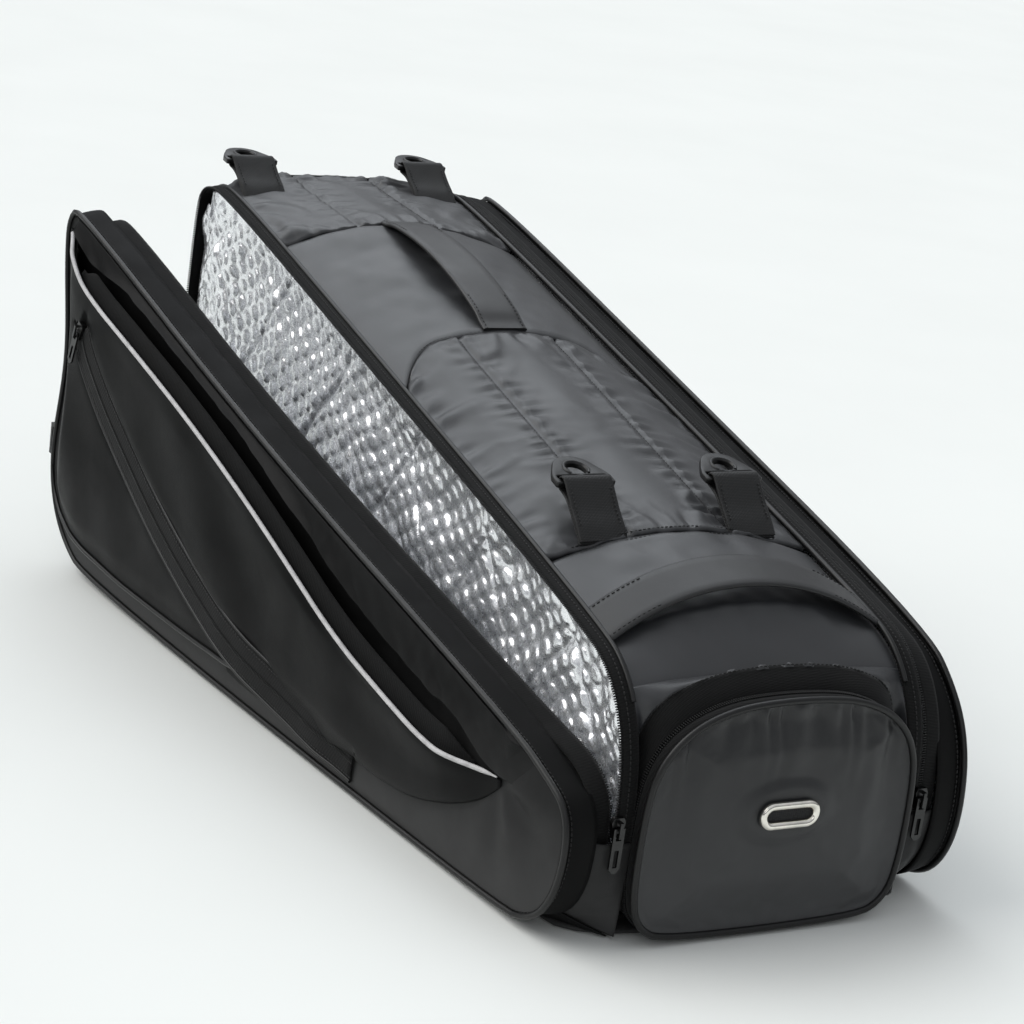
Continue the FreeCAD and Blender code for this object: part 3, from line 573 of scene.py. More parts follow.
def foil_look(name):
    """Metallised film over bubble wrap: crinkled and bright, with painted shade darkening its colour along
    the crease noise.
    """
    look = Look(name, Metallic=0.82, Specular_IOR_Level=0.6)
    crease = look.noise(70.0, 6.0, 0.62, distortion=0.6)
    fine = look.noise(420.0, 4.0, 0.6, distortion=0.8)
    # Painted shade: the colour darkens with the crease noise, standing in for shade in the crinkles.
    look.colour(crease, (0.25, (0.72, 0.73, 0.76)), (0.5, (0.9, 0.91, 0.93)), (0.75, (0.97, 0.97, 0.98)))
    look.rough(fine, 0.2, 0.34)
    ridge = look.math("ABSOLUTE", look.math("SUBTRACT", crease, 0.5))
    look.bump((ridge, 0.25, 2.0), (fine, 0.12, 0.5))
    return look.material


def reflective_look(name):
    """Light grey reflective tape with a fine prism grid and soiled edges."""
    look = Look(name, Specular_IOR_Level=0.5, Sheen_Weight=0.2)
    soil = look.noise(120.0, 4.0, 0.6)
    look.colour(soil, (0.3, (0.36, 0.35, 0.35)), (0.6, (0.5, 0.49, 0.49)))
    look.rough(soil, 0.4, 0.55)
    grid = look.math("MULTIPLY", look.stripes(0.9, 1, 0), look.stripes(0.9, 0, 1))
    look.bump((grid, 0.3, 0.1))
    return look.material


def net_look(name):
    """Black air mesh: round holes in a knitted sheet."""
    look = Look(name, Specular_IOR_Level=0.2)
    hole = look.cells(620.0, 0.25)
    # Painted shade: each hole's middle is darker, standing in for the dark seen through the holes.
    look.colour(hole, (0.2, (0.003, 0.003, 0.003)), (0.5, (0.02, 0.02, 0.021)))
    look.rough(hole, 0.85, 0.6)
    look.bump((hole, 1.0, 0.8))
    return look.material


# The bag's one coated fabric in lit and shaded copies. The top and the door get a paler tone as painted
# light, and the top's blue tint is a painted reflection of the sky. The sides, ends, bottom and pocket get a
# darker tone as painted shade.
LIT_TOP_CLOTH = coated_fabric("top_cloth", 0.02, (0.36, 0.48), 0.6, sheen=0.04, tint=0.16)
SHADED_CLOTH = coated_fabric("side_cloth", 0.004, (0.42, 0.52), 0.1, tint=0.0, painted_low_light=0.045)
SHADED_POCKET_CLOTH = coated_fabric("pocket_cloth", 0.0024, (0.36, 0.46), 0.045, tint=0.0, painted_low_light=0.02)
GUSSET_CLOTH = coated_fabric("gusset_cloth", 0.0035, (0.6, 0.72), 0.12, tint=0.0)
LIT_DOOR_CLOTH = coated_fabric("door_cloth", 0.019, (0.36, 0.46), 0.36, sheen=0.02, painted_low_light=0.045)
STRAP_CLOTH = coated_fabric("strap_cloth", 0.012, (0.36, 0.5), 0.45, sheen=0.03)
LINING = coated_fabric("lining_cloth", 0.006, (0.6, 0.75), 0.15, sheen=0.03, tint=0.0)
PIPING = coated_fabric("piping_cloth", 0.006, (0.32, 0.42), 0.35, tint=0.0)
BOARD = coated_fabric("board_cover", 0.01, (0.6, 0.7), 0.2, sheen=0.05, tint=0.0, uv=False)
TAPE = woven("zip_tape_weave", 0.006, 1.1, 0.2, (0.75, 0.9), 0.25, spec=0.12)
BELT = woven("band_weave", 0.012, 1.3, 0.35, (0.7, 0.85), 0.4, spec=0.12)
WEBBING = woven("webbing_weave", 0.007, 1.15, 0.7, (0.42, 0.58), 0.28, spec=0.3)
THREAD = woven("thread", 0.014, 0.6, 0.5, (0.5, 0.6), 0.1)
COIL = moulded("coil_plastic", 0.006, 0.4, spec=0.35)
PLASTIC = moulded("hook_plastic", 0.007, 0.34, spec=0.35, grain=0.08)
GUNMETAL = moulded("black_nickel", 0.055, 0.3, grain=0.05, metallic=1.0)
NICKEL = moulded("champagne_nickel", 0.78, 0.12, grain=0.03, metallic=1.0, tint=-0.12)
FOIL = foil_look("bubble_foil")
REFLECTIVE = reflective_look("reflective_tape")
NET = net_look("air_mesh")

# ---------------------------------------------------------------- the bag's lines, as in the CAD
EDGE_Y = node_box("zip_tape_right")[0][1]
SEAM_X = (-381, -232, -35, 238, 325, 366)
SEAM_Z = (322, 309, 269, 210, 190, 160)
CROWN = (14, 20, 22, 17, 14, 8)
SIDE_RING = ((334, 6), (370, 16), (387, 40), (392, 72), (386, 112), (366, 144), (322, 175), (-40, 252),
             (-368, 321), (-381, 311), (-385, 291), (-385, 111), (-371, 58), (-341, 24), (-295, 6))
RING_DROOP = (0, 0, 0, 0, 0.3, 0.72, 1, 0.92, 0.42, 0.4, 0.4, 0, 0, 0, 0)
ZIP_LINE = ((390, 60), (390, 105), (382, 135), (360, 161), (322, 175), (-40, 252), (-328, 313),
            (-368, 315), (-382, 297), (-382, 90))
ZIP_RISE = (0, 0, 0.4, 0.8, 1, 1, 0.9, 0.6, 0.2, 0)
ZIP_DROOP = (0, 0.3, 0.62, 0.95, 1.15, 1.08, 0.6, 0.5, 0.5, 0)
SAG = 52.0
SWING = math.radians(-JOINTS["left_cover_swing"]["range_deg"][0])
HINGE = joint_at("left_cover_swing")


def ring_line(sag, step, shift=0.0):
    """A cover's outline, drooping by sag and drawn out by shift."""
    points = [(x, z - sag * droop) for (x, z), droop in zip(SIDE_RING, RING_DROOP)]
    line = smooth_line(points, step, True, 3)
    return line + normals_2d(line, True) * shift


def zip_line(rise, sag, step):
    """The main zip's line over a side."""
    points = [(x, z + rise * up - sag * droop)
              for (x, z), up, droop in zip(ZIP_LINE, ZIP_RISE, ZIP_DROOP)]
    return smooth_line(points, step, False, 3)


def in_xz(line, y):
    return np.column_stack([line[:, 0], np.broadcast_to(y, len(line)), line[:, 1]])


def to_cover(points):
    """Points of the left cover as drawn closed, at y below zero, swung to where the cover stands.

    The far edge is drawn in a little at half height, where the slack cover hangs between its corners."""
    points = np.array(points, float)
    far = 1 - smoothstep(-385, -318, points[..., 0])
    height = np.exp(-((points[..., 2] - 175) / 75.0) ** 2)
    points[..., 0] += 20.0 * far * height * smoothstep(124, 148, -points[..., 1])
    rel = points - HINGE
    turned = rel.copy()
    turned[..., 0] = rel[..., 0] * math.cos(SWING) - rel[..., 1] * math.sin(SWING)
    turned[..., 1] = rel[..., 0] * math.sin(SWING) + rel[..., 1] * math.cos(SWING)
    return turned + HINGE


def as_drawn(points):
    """The right cover stands where it is drawn."""
    return points


def carried(place, at, direction):
    """A direction at some points, turned as place turns the points."""
    return place(at + direction) - place(at)


EDGE_TAPE = zip_line(16.0, 0.0, 4.0)
EDGE_TAPE = EDGE_TAPE[(EDGE_TAPE[:, 1] > np.where(EDGE_TAPE[:, 0] < -350, 286, 150))]
EDGE_TAPE = EDGE_TAPE[np.argsort(EDGE_TAPE[:, 0])]


def roof_z(x, y):
    """The top's height: its crown in the middle, the zip tape's line at the sides."""
    middle = np.interp(x, SEAM_X, SEAM_Z) + np.interp(x, SEAM_X, CROWN)
    edge = np.interp(x, EDGE_TAPE[:, 0], EDGE_TAPE[:, 1]) - 1.5
    power = 2.0 + 2.5 * (1 - smoothstep(-381, -330, x)) + 1.2 * smoothstep(325, 366, x)
    return middle - (middle - edge) * np.clip(np.abs(y) / EDGE_Y, 0, 1.05) ** power


# ---------------------------------------------------------------- top panel
ROOF_EDGE = EDGE_Y + 0.5


def pad_far_edge(y):
    """The near pad's far edge: straight in the middle, its corners rounded."""
    return SEAM_X[2] + 52.0 * np.clip((np.abs(y) - 52) / 53, 0, 1) ** 2.2


def roof_grid(x_low, x_high, rows, cols):
    """A grid over the roof between two lines across it."""
    y = np.linspace(-ROOF_EDGE, ROOF_EDGE, cols)[None, :]
    share = np.linspace(0, 1, rows)[:, None]
    x = x_low(y) + (x_high(y) - x_low(y)) * share
    y = np.broadcast_to(y, x.shape)
    return x, y, share


def pad(name, node, x_low, x_high, channel, rows, cols, seed, lift):
    """A stuffed panel sewn down round its edge and along two channels, with puckers."""
    x, y, share = roof_grid(x_low, x_high, rows, cols)
    base = roof_z(x, y) - 3.0 * smoothstep(0, 10, ROOF_EDGE - np.abs(y))
    rim = np.minimum.reduce([np.broadcast_to(share, x.shape) * (x_high(y) - x_low(y)),
                             (1 - share) * (x_high(y) - x_low(y)), ROOF_EDGE - np.abs(y)])
    to_channel = np.abs(np.abs(y) - channel)
    near_seam = np.minimum(rim, to_channel)
    start = base + 2.0 * smoothstep(0, 16, near_seam)
    points = np.dstack([x, y, start])
    pinned = (rim < 1.5) | (to_channel < 1.6)
    points = puff(points, pinned, 7.0, lift, 0.006)
    swell = lift * 0.5 * np.sqrt(smoothstep(0, 40, near_seam))
    reach = 10.0 + 5.0 * ripple(x, np.sign(y) * 55.0, 60.0, seed + 5, 1)
    comb = np.sin(x / 2.3 + 2.4 * ripple(x, np.sign(y) * 40.0, 70.0, seed, 2))
    comb = comb * (0.55 + 0.45 * ripple(x, np.sign(y) * 30.0, 45.0, seed + 9, 1))
    pucker = comb * np.exp(-((to_channel - 7) / reach) ** 2) * smoothstep(0.5, 5, to_channel) * 1.6
    end = np.broadcast_to(np.minimum(share, 1 - share), x.shape) * (x_high(y) - x_low(y))
    gather = ripple(y, x * 0.1, 15.0, seed + 7, 2) * np.exp(-((end - 8) / 10.0) ** 2) * 1.2
    by_edge = np.exp(-((ROOF_EDGE - np.abs(y) - 9) / 10) ** 2)
    edge_pucker = ripple(x, 0 * y, 19.0, seed + 3, 2) * by_edge * 1.3
    sewn = 3.4 * np.exp(-(to_channel / 2.2) ** 2)
    points[..., 2] += swell + pucker + gather + edge_pucker - sewn
    piece = shell(name, points, 6.0, LIT_TOP_CLOTH, (0, 0, 1))
    finish_piece(piece, "bag", "bag_fabric", node)
    PADDED.append(piece)
    for side in (-1, 1):
        col = int(np.argmin(np.abs(y[0] - side * channel)))
        line = points[2:-2, col] + np.array([0, 0, 0.15])
        up = np.tile((0.0, 0.0, 1.0), (len(line), 1))
        stitches(f"{name}_channel_{'left' if side < 0 else 'right'}", line, up)


def smooth_panel(name, node, x_low, x_high, rows, cols, seed, sag):
    """A single-layer panel with slack folds."""
    x, y, share = roof_grid(x_low, x_high, rows, cols)
    middle = 4 * share * (1 - share)
    edge = smoothstep(0, 40, ROOF_EDGE - np.abs(y))
    z = roof_z(x, y) - 2.0 + sag * middle * edge
    inside = np.broadcast_to(smoothstep(0, 0.2, middle), z.shape)
    z = z + ripple(x, y * 0.5, 120.0, seed, 3) * 1.5 * edge * inside
    z = z + ripple(x, y, 42.0, seed + 1, 2) * 0.5 * edge
    seam = np.broadcast_to(np.minimum(share, 1 - share), x.shape) * (x_high(y) - x_low(y))
    z = z - 2.5 * np.exp(-(seam / 3.5) ** 2)
    points = np.dstack([x, y, z])
    piece = shell(name, points, 3.0, LIT_TOP_CLOTH, (0, 0, 1))
    finish_piece(piece, "bag", "bag_fabric", node)


def across(value):
    """A straight line across the roof."""
    return lambda y: np.full_like(np.asarray(y, float), value)


def make_roof():
    """The four lengths of the top, with their seams sewn down."""
    far_end, far_seam, near_seam = (across(SEAM_X[index]) for index in (0, 1, 3))
    pad("top_pad_far_quilted", "top_pad_far", far_end, far_seam, 36.0, 52, 78, 11, 11.0)
    smooth_panel("top_panel_mid_cloth", "top_panel_mid", far_seam, pad_far_edge, 70, 72, 21, 0.0)
    pad("top_pad_near_quilted", "top_pad_near", pad_far_edge, near_seam, 41.0, 92, 84, 31, 12.0)
    front = across(SEAM_X[5] + 1.0)
    smooth_panel("top_panel_near_cloth", "top_panel_near", near_seam, front, 60, 72, 41, 1.5)
    up = (0.0, 0.0, 1.0)
    for shift, label in ((-3.0, "a"), (4.0, "b")):
        y = np.linspace(-ROOF_EDGE + 3, ROOF_EDGE - 3, 90)
        x = np.full_like(y, SEAM_X[3] + shift)
        line = np.column_stack([x, y, roof_z(x, y) - (2.6 if shift < 0 else 3.2) + 0.2])
        stitches(f"near_seam_stitch_{label}", line, np.tile(up, (len(line), 1)))
    y = np.linspace(-ROOF_EDGE + 3, ROOF_EDGE - 3, 60)
    x = pad_far_edge(y) - 3.5
    line = np.column_stack([x, y, roof_z(x, y) - 3.6])
    stitches("pad_edge_stitch", line, np.tile(up, (len(line), 1)))


def make_far_end():
    """The far end's panel, slack between its corners, with a roll under the top seam."""
    y = np.linspace(-ROOF_EDGE, ROOF_EDGE, 60)[None, :]
    share = np.linspace(0, 1, 80)[:, None]
    top = roof_z(SEAM_X[0], y) - 3.0
    z = 2.0 + (top - 2.0) * share
    side_share = np.clip(np.abs(y) / ROOF_EDGE, 0, 1)
    puffed = (4 * share * (1 - share)) ** 0.35 * (1 - side_share ** 5)
    creases = ripple(y * 1.6, z * 0.5, 80.0, 5, 3) * 2.2 + ripple(y, z, 30.0, 6, 2) * 0.4
    x = SEAM_X[0] + 2.5 - 10.0 * puffed + creases * puffed
    x = x + 5.0 * (1 - share) ** 6
    points = np.dstack([np.broadcast_to(x, z.shape), np.broadcast_to(y, z.shape), z])
    panel = shell("far_end_cloth", points, 3.0, SHADED_CLOTH, (-1, 0, 0))
    finish_piece(panel, "bag", "bag_fabric", "far_end_panel")


def make_bottom():
    """The bottom panel with a rolled edge."""
    low, high = node_box("bottom_panel")
    cut = 45.0
    loop = [(low[0] + cut, low[1]), (high[0] - cut, low[1]),
            (high[0], low[1] + cut), (high[0], high[1] - cut),
            (high[0] - cut, high[1]), (low[0] + cut, high[1]),
            (low[0], high[1] - cut), (low[0], low[1] + cut)]
    line = smooth_line(loop, 8, True, 2)
    rings = []
    for inset, z in ((4, 4.0), (1.2, 3.6), (0, 2.0), (1.0, 0.5), (4, 0.0)):
        shifted = line * (1 - inset / 150)
        rings.append(np.column_stack([shifted, np.full(len(line), z)]))
    count = len(line)
    verts = np.vstack(rings + [np.array([[0, 0, 4.4]]), np.array([[0, 0, 0.0]])])
    faces = []
    for ring in range(4):
        for k in range(count):
            a, b = ring * count + k, ring * count + (k + 1) % count
            faces.append((a, b, b + count, a + count))
    for k in range(count):
        faces.append((5 * count, (k + 1) % count, k))
        faces.append((5 * count + 1, 4 * count + k, 4 * count + (k + 1) % count))
    piece = tidy_normals(mesh("bottom_cloth", verts, faces, SHADED_CLOTH, verts[:, :2]))
    finish_piece(piece, "bag", "bag_fabric", "bottom_panel")


# ---------------------------------------------------------------- zips
COIL_PITCH = 1.7


def coil_row(name, line, normal, y, place=as_drawn):
    """A row of coil teeth along a line in a side's plane."""
    spots = resample(np.hstack([line, normal]), int(line_length(line) / COIL_PITCH))
    centre = in_xz(spots[:, :2] + spots[:, 2:] * -0.6, y)
    along = carried(place, centre, in_xz(tangents(spots[:, :2]), 0))
    out = carried(place, centre, in_xz(spots[:, 2:], 0))
    across_zip = carried(place, centre, np.array([(0.0, 1.0, 0.0)]))
    return box_parts(name, (place(centre), along, out, across_zip), (1.05, 1.5, 2.2), COIL)


def band(name, line, normal, y_from, y_to, drop, thick, material, side, place=as_drawn, arch=0.0,
         closed=False):
    """A strip round a side: from |y| y_from to y_to, falling by drop on the way."""
    path = np.vstack([line, line[:1]]) if closed else line
    out = np.vstack([normal, normal[:1]]) if closed else normal
    cols = 7
    rows = []
    for share in np.linspace(0, 1, cols):
        depth = -drop * share + arch * 4 * share * (1 - share)
        rows.append(in_xz(path + out * depth, side * (y_from + (y_to - y_from) * share)))
    points = np.stack(rows, axis=1)
    outward = np.stack([in_xz(out, 0)] * cols, axis=1)
    points, inner = place(points), place(points - outward * thick)
    ring = np.concatenate([points, inner[:, ::-1], points[:, :1]], axis=1)
    faces = quads(len(path), ring.shape[1]).tolist()
    if not closed:
        wide = ring.shape[1]
        faces.append(list(range(wide - 1)))
        faces.append([(len(path) - 1) * wide + k for k in range(wide - 2, -1, -1)])
    obj = tidy_normals(mesh(name, ring.reshape(-1, 3), faces, material, grid_uv(ring)))
    return note_sheet(obj, points)


def make_zips():
    """The fixed half of both main zips."""
    line = zip_line(16.0, 0.0, 6.0)
    normal = normals_2d(line)
    for side, label in ((-1, "left"), (1, "right")):
        tape = band(f"zip_tape_{label}_woven", line, normal, EDGE_Y, EDGE_Y + 12, 0.0, 1.6, TAPE, side,
                    arch=0.6)
        finish_piece(tape, "bag", "zip_tape", f"zip_tape_{label}")
        teeth = coil_row(f"zip_coil_{label}_teeth", line, normal, side * (EDGE_Y + 12.8))
        finish_piece(teeth, "bag", "zip_coil", f"zip_coil_{label}")
        top = line[(line[:, 0] < 372)]
        out = normals_2d(top)
        path = in_xz(top + out * 0.6, side * (EDGE_Y + 1.0))
        fold = sweep(f"roof_edge_fold_{label}", path, in_xz(out, 0), (0, 1, 0), circle(1.9, 8), PIPING)
        finish_piece(fold, "bag", "piping")
        spots = in_xz(line + normal * 0.75, side * (EDGE_Y + 6.5))
        stitches(f"zip_stitch_{label}", spots, in_xz(normal, 0))


# ---------------------------------------------------------------- foil lining
def bubbles(a, b, pitch=15.6, radius=6.6, height=1.35):
    """Round flat-topped bubbles in offset rows over two coordinates in mm."""
    row_gap = pitch * 0.88
    row = np.floor(b / row_gap)
    shifted = a + (row % 2) * pitch / 2
    da = shifted - (np.floor(shifted / pitch) + 0.5) * pitch
    db = b - (row + 0.5) * row_gap
    inside = 1 - np.sqrt(da ** 2 + db ** 2) / radius
    return height * (smoothstep(0, 0.38, inside) + 0.25 * np.clip(inside, 0, 1))


FOIL_THICK = 0.6


def foil_sheet(name, grid, out, node, body, seed, crumple=1.0, place=as_drawn):
    """A foil-faced sheet: bubbles, quilting lines and crumples on a grid of plain points."""
    uv = grid_uv(grid).reshape(*grid.shape[:2], 2)
    u, v = uv[..., 0], uv[..., 1]
    quilt = np.zeros_like(u)
    for slope, gap, start in ((0.55, 118.0, 30.0), (-0.95, 150.0, 60.0)):
        lane = (v + u * slope + ripple(u, v, 160.0, seed + 9, 2) * 5 + start) / gap
        away = np.abs(lane - np.round(lane)) * gap
        quilt = np.maximum(quilt, np.exp(-(away / 3.2) ** 2))
    dome = bubbles(u + ripple(u, v, 90, seed, 2) * 2, v + ripple(v, u, 80, seed + 1, 2) * 2)
    crumpled = ripple(u, v, 60.0, seed + 2, 2) * 1.6 + ripple(u, v, 170.0, seed + 3, 2) * 3.0
    fine = ripple(u, v, 24.0, seed + 4, 2) * 0.35
    height = dome * (1 - quilt * 0.8) - quilt * 1.6 + (crumpled + fine) * crumple
    border = np.minimum(np.minimum(u, u.max(axis=1, keepdims=True) - u), np.minimum(v, v.max() - v))
    height = height * (0.15 + 0.85 * smoothstep(0, 14, border))
    normal = grid_normals(facing(grid, out))
    if facing(grid, out) is not grid:
        normal = normal[:, ::-1]
    points = place(grid + normal * height[..., None])
    finish_piece(shell(name, points, FOIL_THICK, FOIL, out), body, "foil", node)


def foil_wall(side, label, step):
    """The lining over the core's side, hung from the zip and slack below it."""
    x = np.linspace(-376, 382, int(758 / step))[:, None]
    near_line = ((-381, 286), (-374, 300), (-366, 312), (360, 168), (372, 152), (382, 128), (388, 96))
    upper = np.interp(x[:, 0], EDGE_TAPE[:, 0], EDGE_TAPE[:, 1])
    limit = np.interp(x[:, 0], [a for a, b in near_line], [b for a, b in near_line])
    top = (np.where(np.abs(x[:, 0] + 3) > 357, np.minimum(upper, limit), upper) - 3.6)[:, None]
    share = np.linspace(0, 1, int(300 / step))[None, :]
    z = 7.0 + (top - 7.0) * share
    hang = smoothstep(0.0, 1.0, (top - z) / 26.0)
    slack = np.sin(np.pi * np.clip((top - z) / 190.0, 0, 1))
    y = 113.0 - 5.0 * hang + 3.0 * slack
    tucked = 0.2 + 0.8 * smoothstep(12, 80, z)
    x = np.where(x > 352, 352 + (x - 352) * tucked, np.broadcast_to(x, z.shape))
    points = np.dstack([x, side * y, z])
    foil_sheet(f"foil_wall_{label}_lining", points, (0, side, 0), f"foil_wall_{label}", "bag", 3 + side)


def foil_floor(side, label, step):
    """The foil on the compartment's floor, cut off at the corners like the bottom panel."""
    low, high = node_box(f"foil_floor_{label}")
    share = np.linspace(0, 1, int((high[0] - low[0]) / step))[:, None]
    reach = (106.5, 133.0) if side > 0 else (-133.0, -106.5)
    y = np.linspace(reach[0], reach[1], int(26.5 / step))[None, :]
    cut = 8.0 + np.clip(np.abs(y) - 104, 0, 60) * 1.8
    x = low[0] + cut + (high[0] - low[0] - 2 * cut) * share
    points = np.dstack([x, np.broadcast_to(y, x.shape), np.full(x.shape, high[2] + 1.0)])
    foil_sheet(f"foil_floor_{label}_lining", points, (0, 0, 1), f"foil_floor_{label}", "bag", 13, 0.3)


# ---------------------------------------------------------------- side covers
def split_chains(ring, marks):
    """The closed line cut at the points nearest the marks, in order."""
    cuts = [int(np.argmin(np.linalg.norm(ring - np.array(mark), axis=1))) for mark in marks]
    chains = []
    for first, last in zip(cuts, cuts[1:] + cuts[:1]):
        size = (last - first) % len(ring)
        chains.append(ring[(first + np.arange(size + 1)) % len(ring)])
    return chains


def patch(ring, marks, rows, cols):
    """A four-sided grid filling a closed line cut at four marks: near-low, near-high, far-high, far-low."""
    near, top, far, bottom = split_chains(ring, marks)
    right = resample(near, rows)
    upper = resample(top, cols)[::-1]
    left = resample(far, rows)[::-1]
    lower = resample(bottom, cols)
    u = np.linspace(0, 1, cols)[None, :, None]
    v = np.linspace(0, 1, rows)[:, None, None]
    edges = (1 - v) * lower[None] + v * upper[None] + (1 - u) * left[:, None] + u * right[:, None]
    corners = ((1 - u) * (1 - v) * lower[0] + u * (1 - v) * lower[-1] + (1 - u) * v * upper[0]
               + u * v * upper[-1])
    return edges - corners, u[..., 0] * np.ones((rows, 1)), v[..., 0] * np.ones((1, cols))


def face_marks(sag):
    """The four corners of a cover's outline."""
    points = [(x, z - sag * droop) for (x, z), droop in zip(SIDE_RING, RING_DROOP)]
    return points[1], points[5], points[9], points[13]


POCKET_TIP = (318.0, 87.0)


def face_height(x, z):
    """How far the left face stands off its seam plane: long folds, and short ones round the pocket's tip."""
    reach = np.hypot(x - POCKET_TIP[0], z - POCKET_TIP[1])
    angle = np.arctan2(z - POCKET_TIP[1], x - POCKET_TIP[0])
    fan = np.sin(angle * 5.0 + 0.8) * np.exp(-((reach - 34) / 30.0) ** 2) * smoothstep(2, 18, reach)
    fan = fan * smoothstep(295, 325, x)
    slack = ripple(x * 0.6, z, 150.0, 49, 2) * 1.2
    return 154.9 + fan * 2.2 + slack * smoothstep(100, 240, x)


def side_face(side, label, body, sag, place):
    """A cover's face: a slack coated panel, bulging a little between its piped edges."""
    ring = ring_line(sag, 4.0)
    flat, u, v = patch(ring, face_marks(sag), 96, 230)
    bulge = (4 * u * (1 - u)) ** 0.35 * (4 * v * (1 - v)) ** 0.5
    x, z = flat[..., 0], flat[..., 1]
    sag_fold = ripple(x * 0.6, z, 150.0, 50 + side, 3) * 2.2 + ripple(x, z * 0.7, 52.0, 60 + side, 3) * 0.7
    if side > 0:
        edge = np.minimum(np.minimum(u, 1 - u) * 740, np.minimum(v, 1 - v) * 250)
        tucks = np.sin((x + z) / 5.2 + 2 * ripple(x, z, 80, 57, 2)) * np.exp(-((edge - 9) / 9.0) ** 2) * 0.6
        y = 155.0 + bulge * (7.0 + sag_fold * 1.4) + tucks
    else:
        rim = smoothstep(0, 0.06, np.minimum(np.minimum(u, 1 - u), np.minimum(v, 1 - v)))
        y = 154.4 + (face_height(x, z) - 154.4) * rim
    points = place(np.dstack([x, side * y, z]))
    piece = shell(f"{label}_face_cloth", points, 2.4, SHADED_CLOTH, (0, side, 0))
    finish_piece(piece, body, "bag_fabric", f"{label}_side_panel")


def make_cover(side, label, body, sag, place):
    """A compartment's cover: face, gusset, zip tape, piping and foil lining."""
    side_face(side, label, body, sag, place)
    ring = ring_line(sag, 5.0)
    normal = normals_2d(ring, True)
    run = np.linspace(0, 1, len(ring))
    wavy = ripple(run * 1800, 0 * run, 60, 71 + side, 2)[:, None] * 0.5
    hoop = band(f"{label}_gusset_cloth", ring + normal * (3.5 + wavy), normal, 131.5, 152.5, 3.6, 1.8,
                GUSSET_CLOTH, side, place, 0.8, True)
    finish_piece(hoop, body, "bag_fabric", f"{label}_gusset")
    tape_line = zip_line(11.0, sag, 6.0)
    out = normals_2d(tape_line)
    tape = band(f"{label}_cover_tape_woven", tape_line, out, 119.6, 133.4, 2.5, 1.6, TAPE, side, place, 0.4)
    finish_piece(tape, body, "zip_tape", f"{label}_cover_tape")
    teeth = coil_row(f"{label}_cover_coil_teeth", tape_line, out, side * 119.4, place)
    finish_piece(teeth, body, "zip_coil")
    edge = in_xz(ring + normal * 2.3, side * 154.6)
    facing_out = carried(place, edge, in_xz(normal, 0))
    across_y = carried(place, edge, np.array([(0.0, 1.0, 0.0)]))
    tube = sweep(f"{label}_piping_cord", place(edge), facing_out, across_y, circle(2.2, 10), PIPING, True)
    finish_piece(tube, body, "piping", f"{label}_piping")
    seam = in_xz(ring + normal * 1.2, side * 149.6)
    stitches(f"{label}_gusset_stitch", place(seam), carried(place, seam, in_xz(normal, 0)), body)
    inner = ring_line(sag, 5.0, -6.0)
    step = 2.0 if side < 0 else 3.2
    flat, u, v = patch(inner, face_marks(sag), int(250 / step), int(740 / step))
    points = np.dstack([flat[..., 0], np.full(u.shape, side * 146.6), flat[..., 1]])
    foil_sheet(f"{label}_cover_lining", points, (0, -side, 0), f"{label}_foil_lining", body, 23, 0.6, place)


def loft(first, second, rows, bow):
    """A grid from one line to another, bowed along a vector in the middle."""
    share = np.linspace(0, 1, rows)[:, None, None]
    arch = 4 * share * (1 - share)
    return first[None] * (1 - share) + second[None] * share + arch * np.asarray(bow, float)


def cloth_between(name, points, thick, material, out):
    """A panel drawn from the bag's edge to a cover's edge, with its transform baked in; it is put on no body.
    """
    panel = shell(name, points, thick, material, out)
    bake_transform(panel)


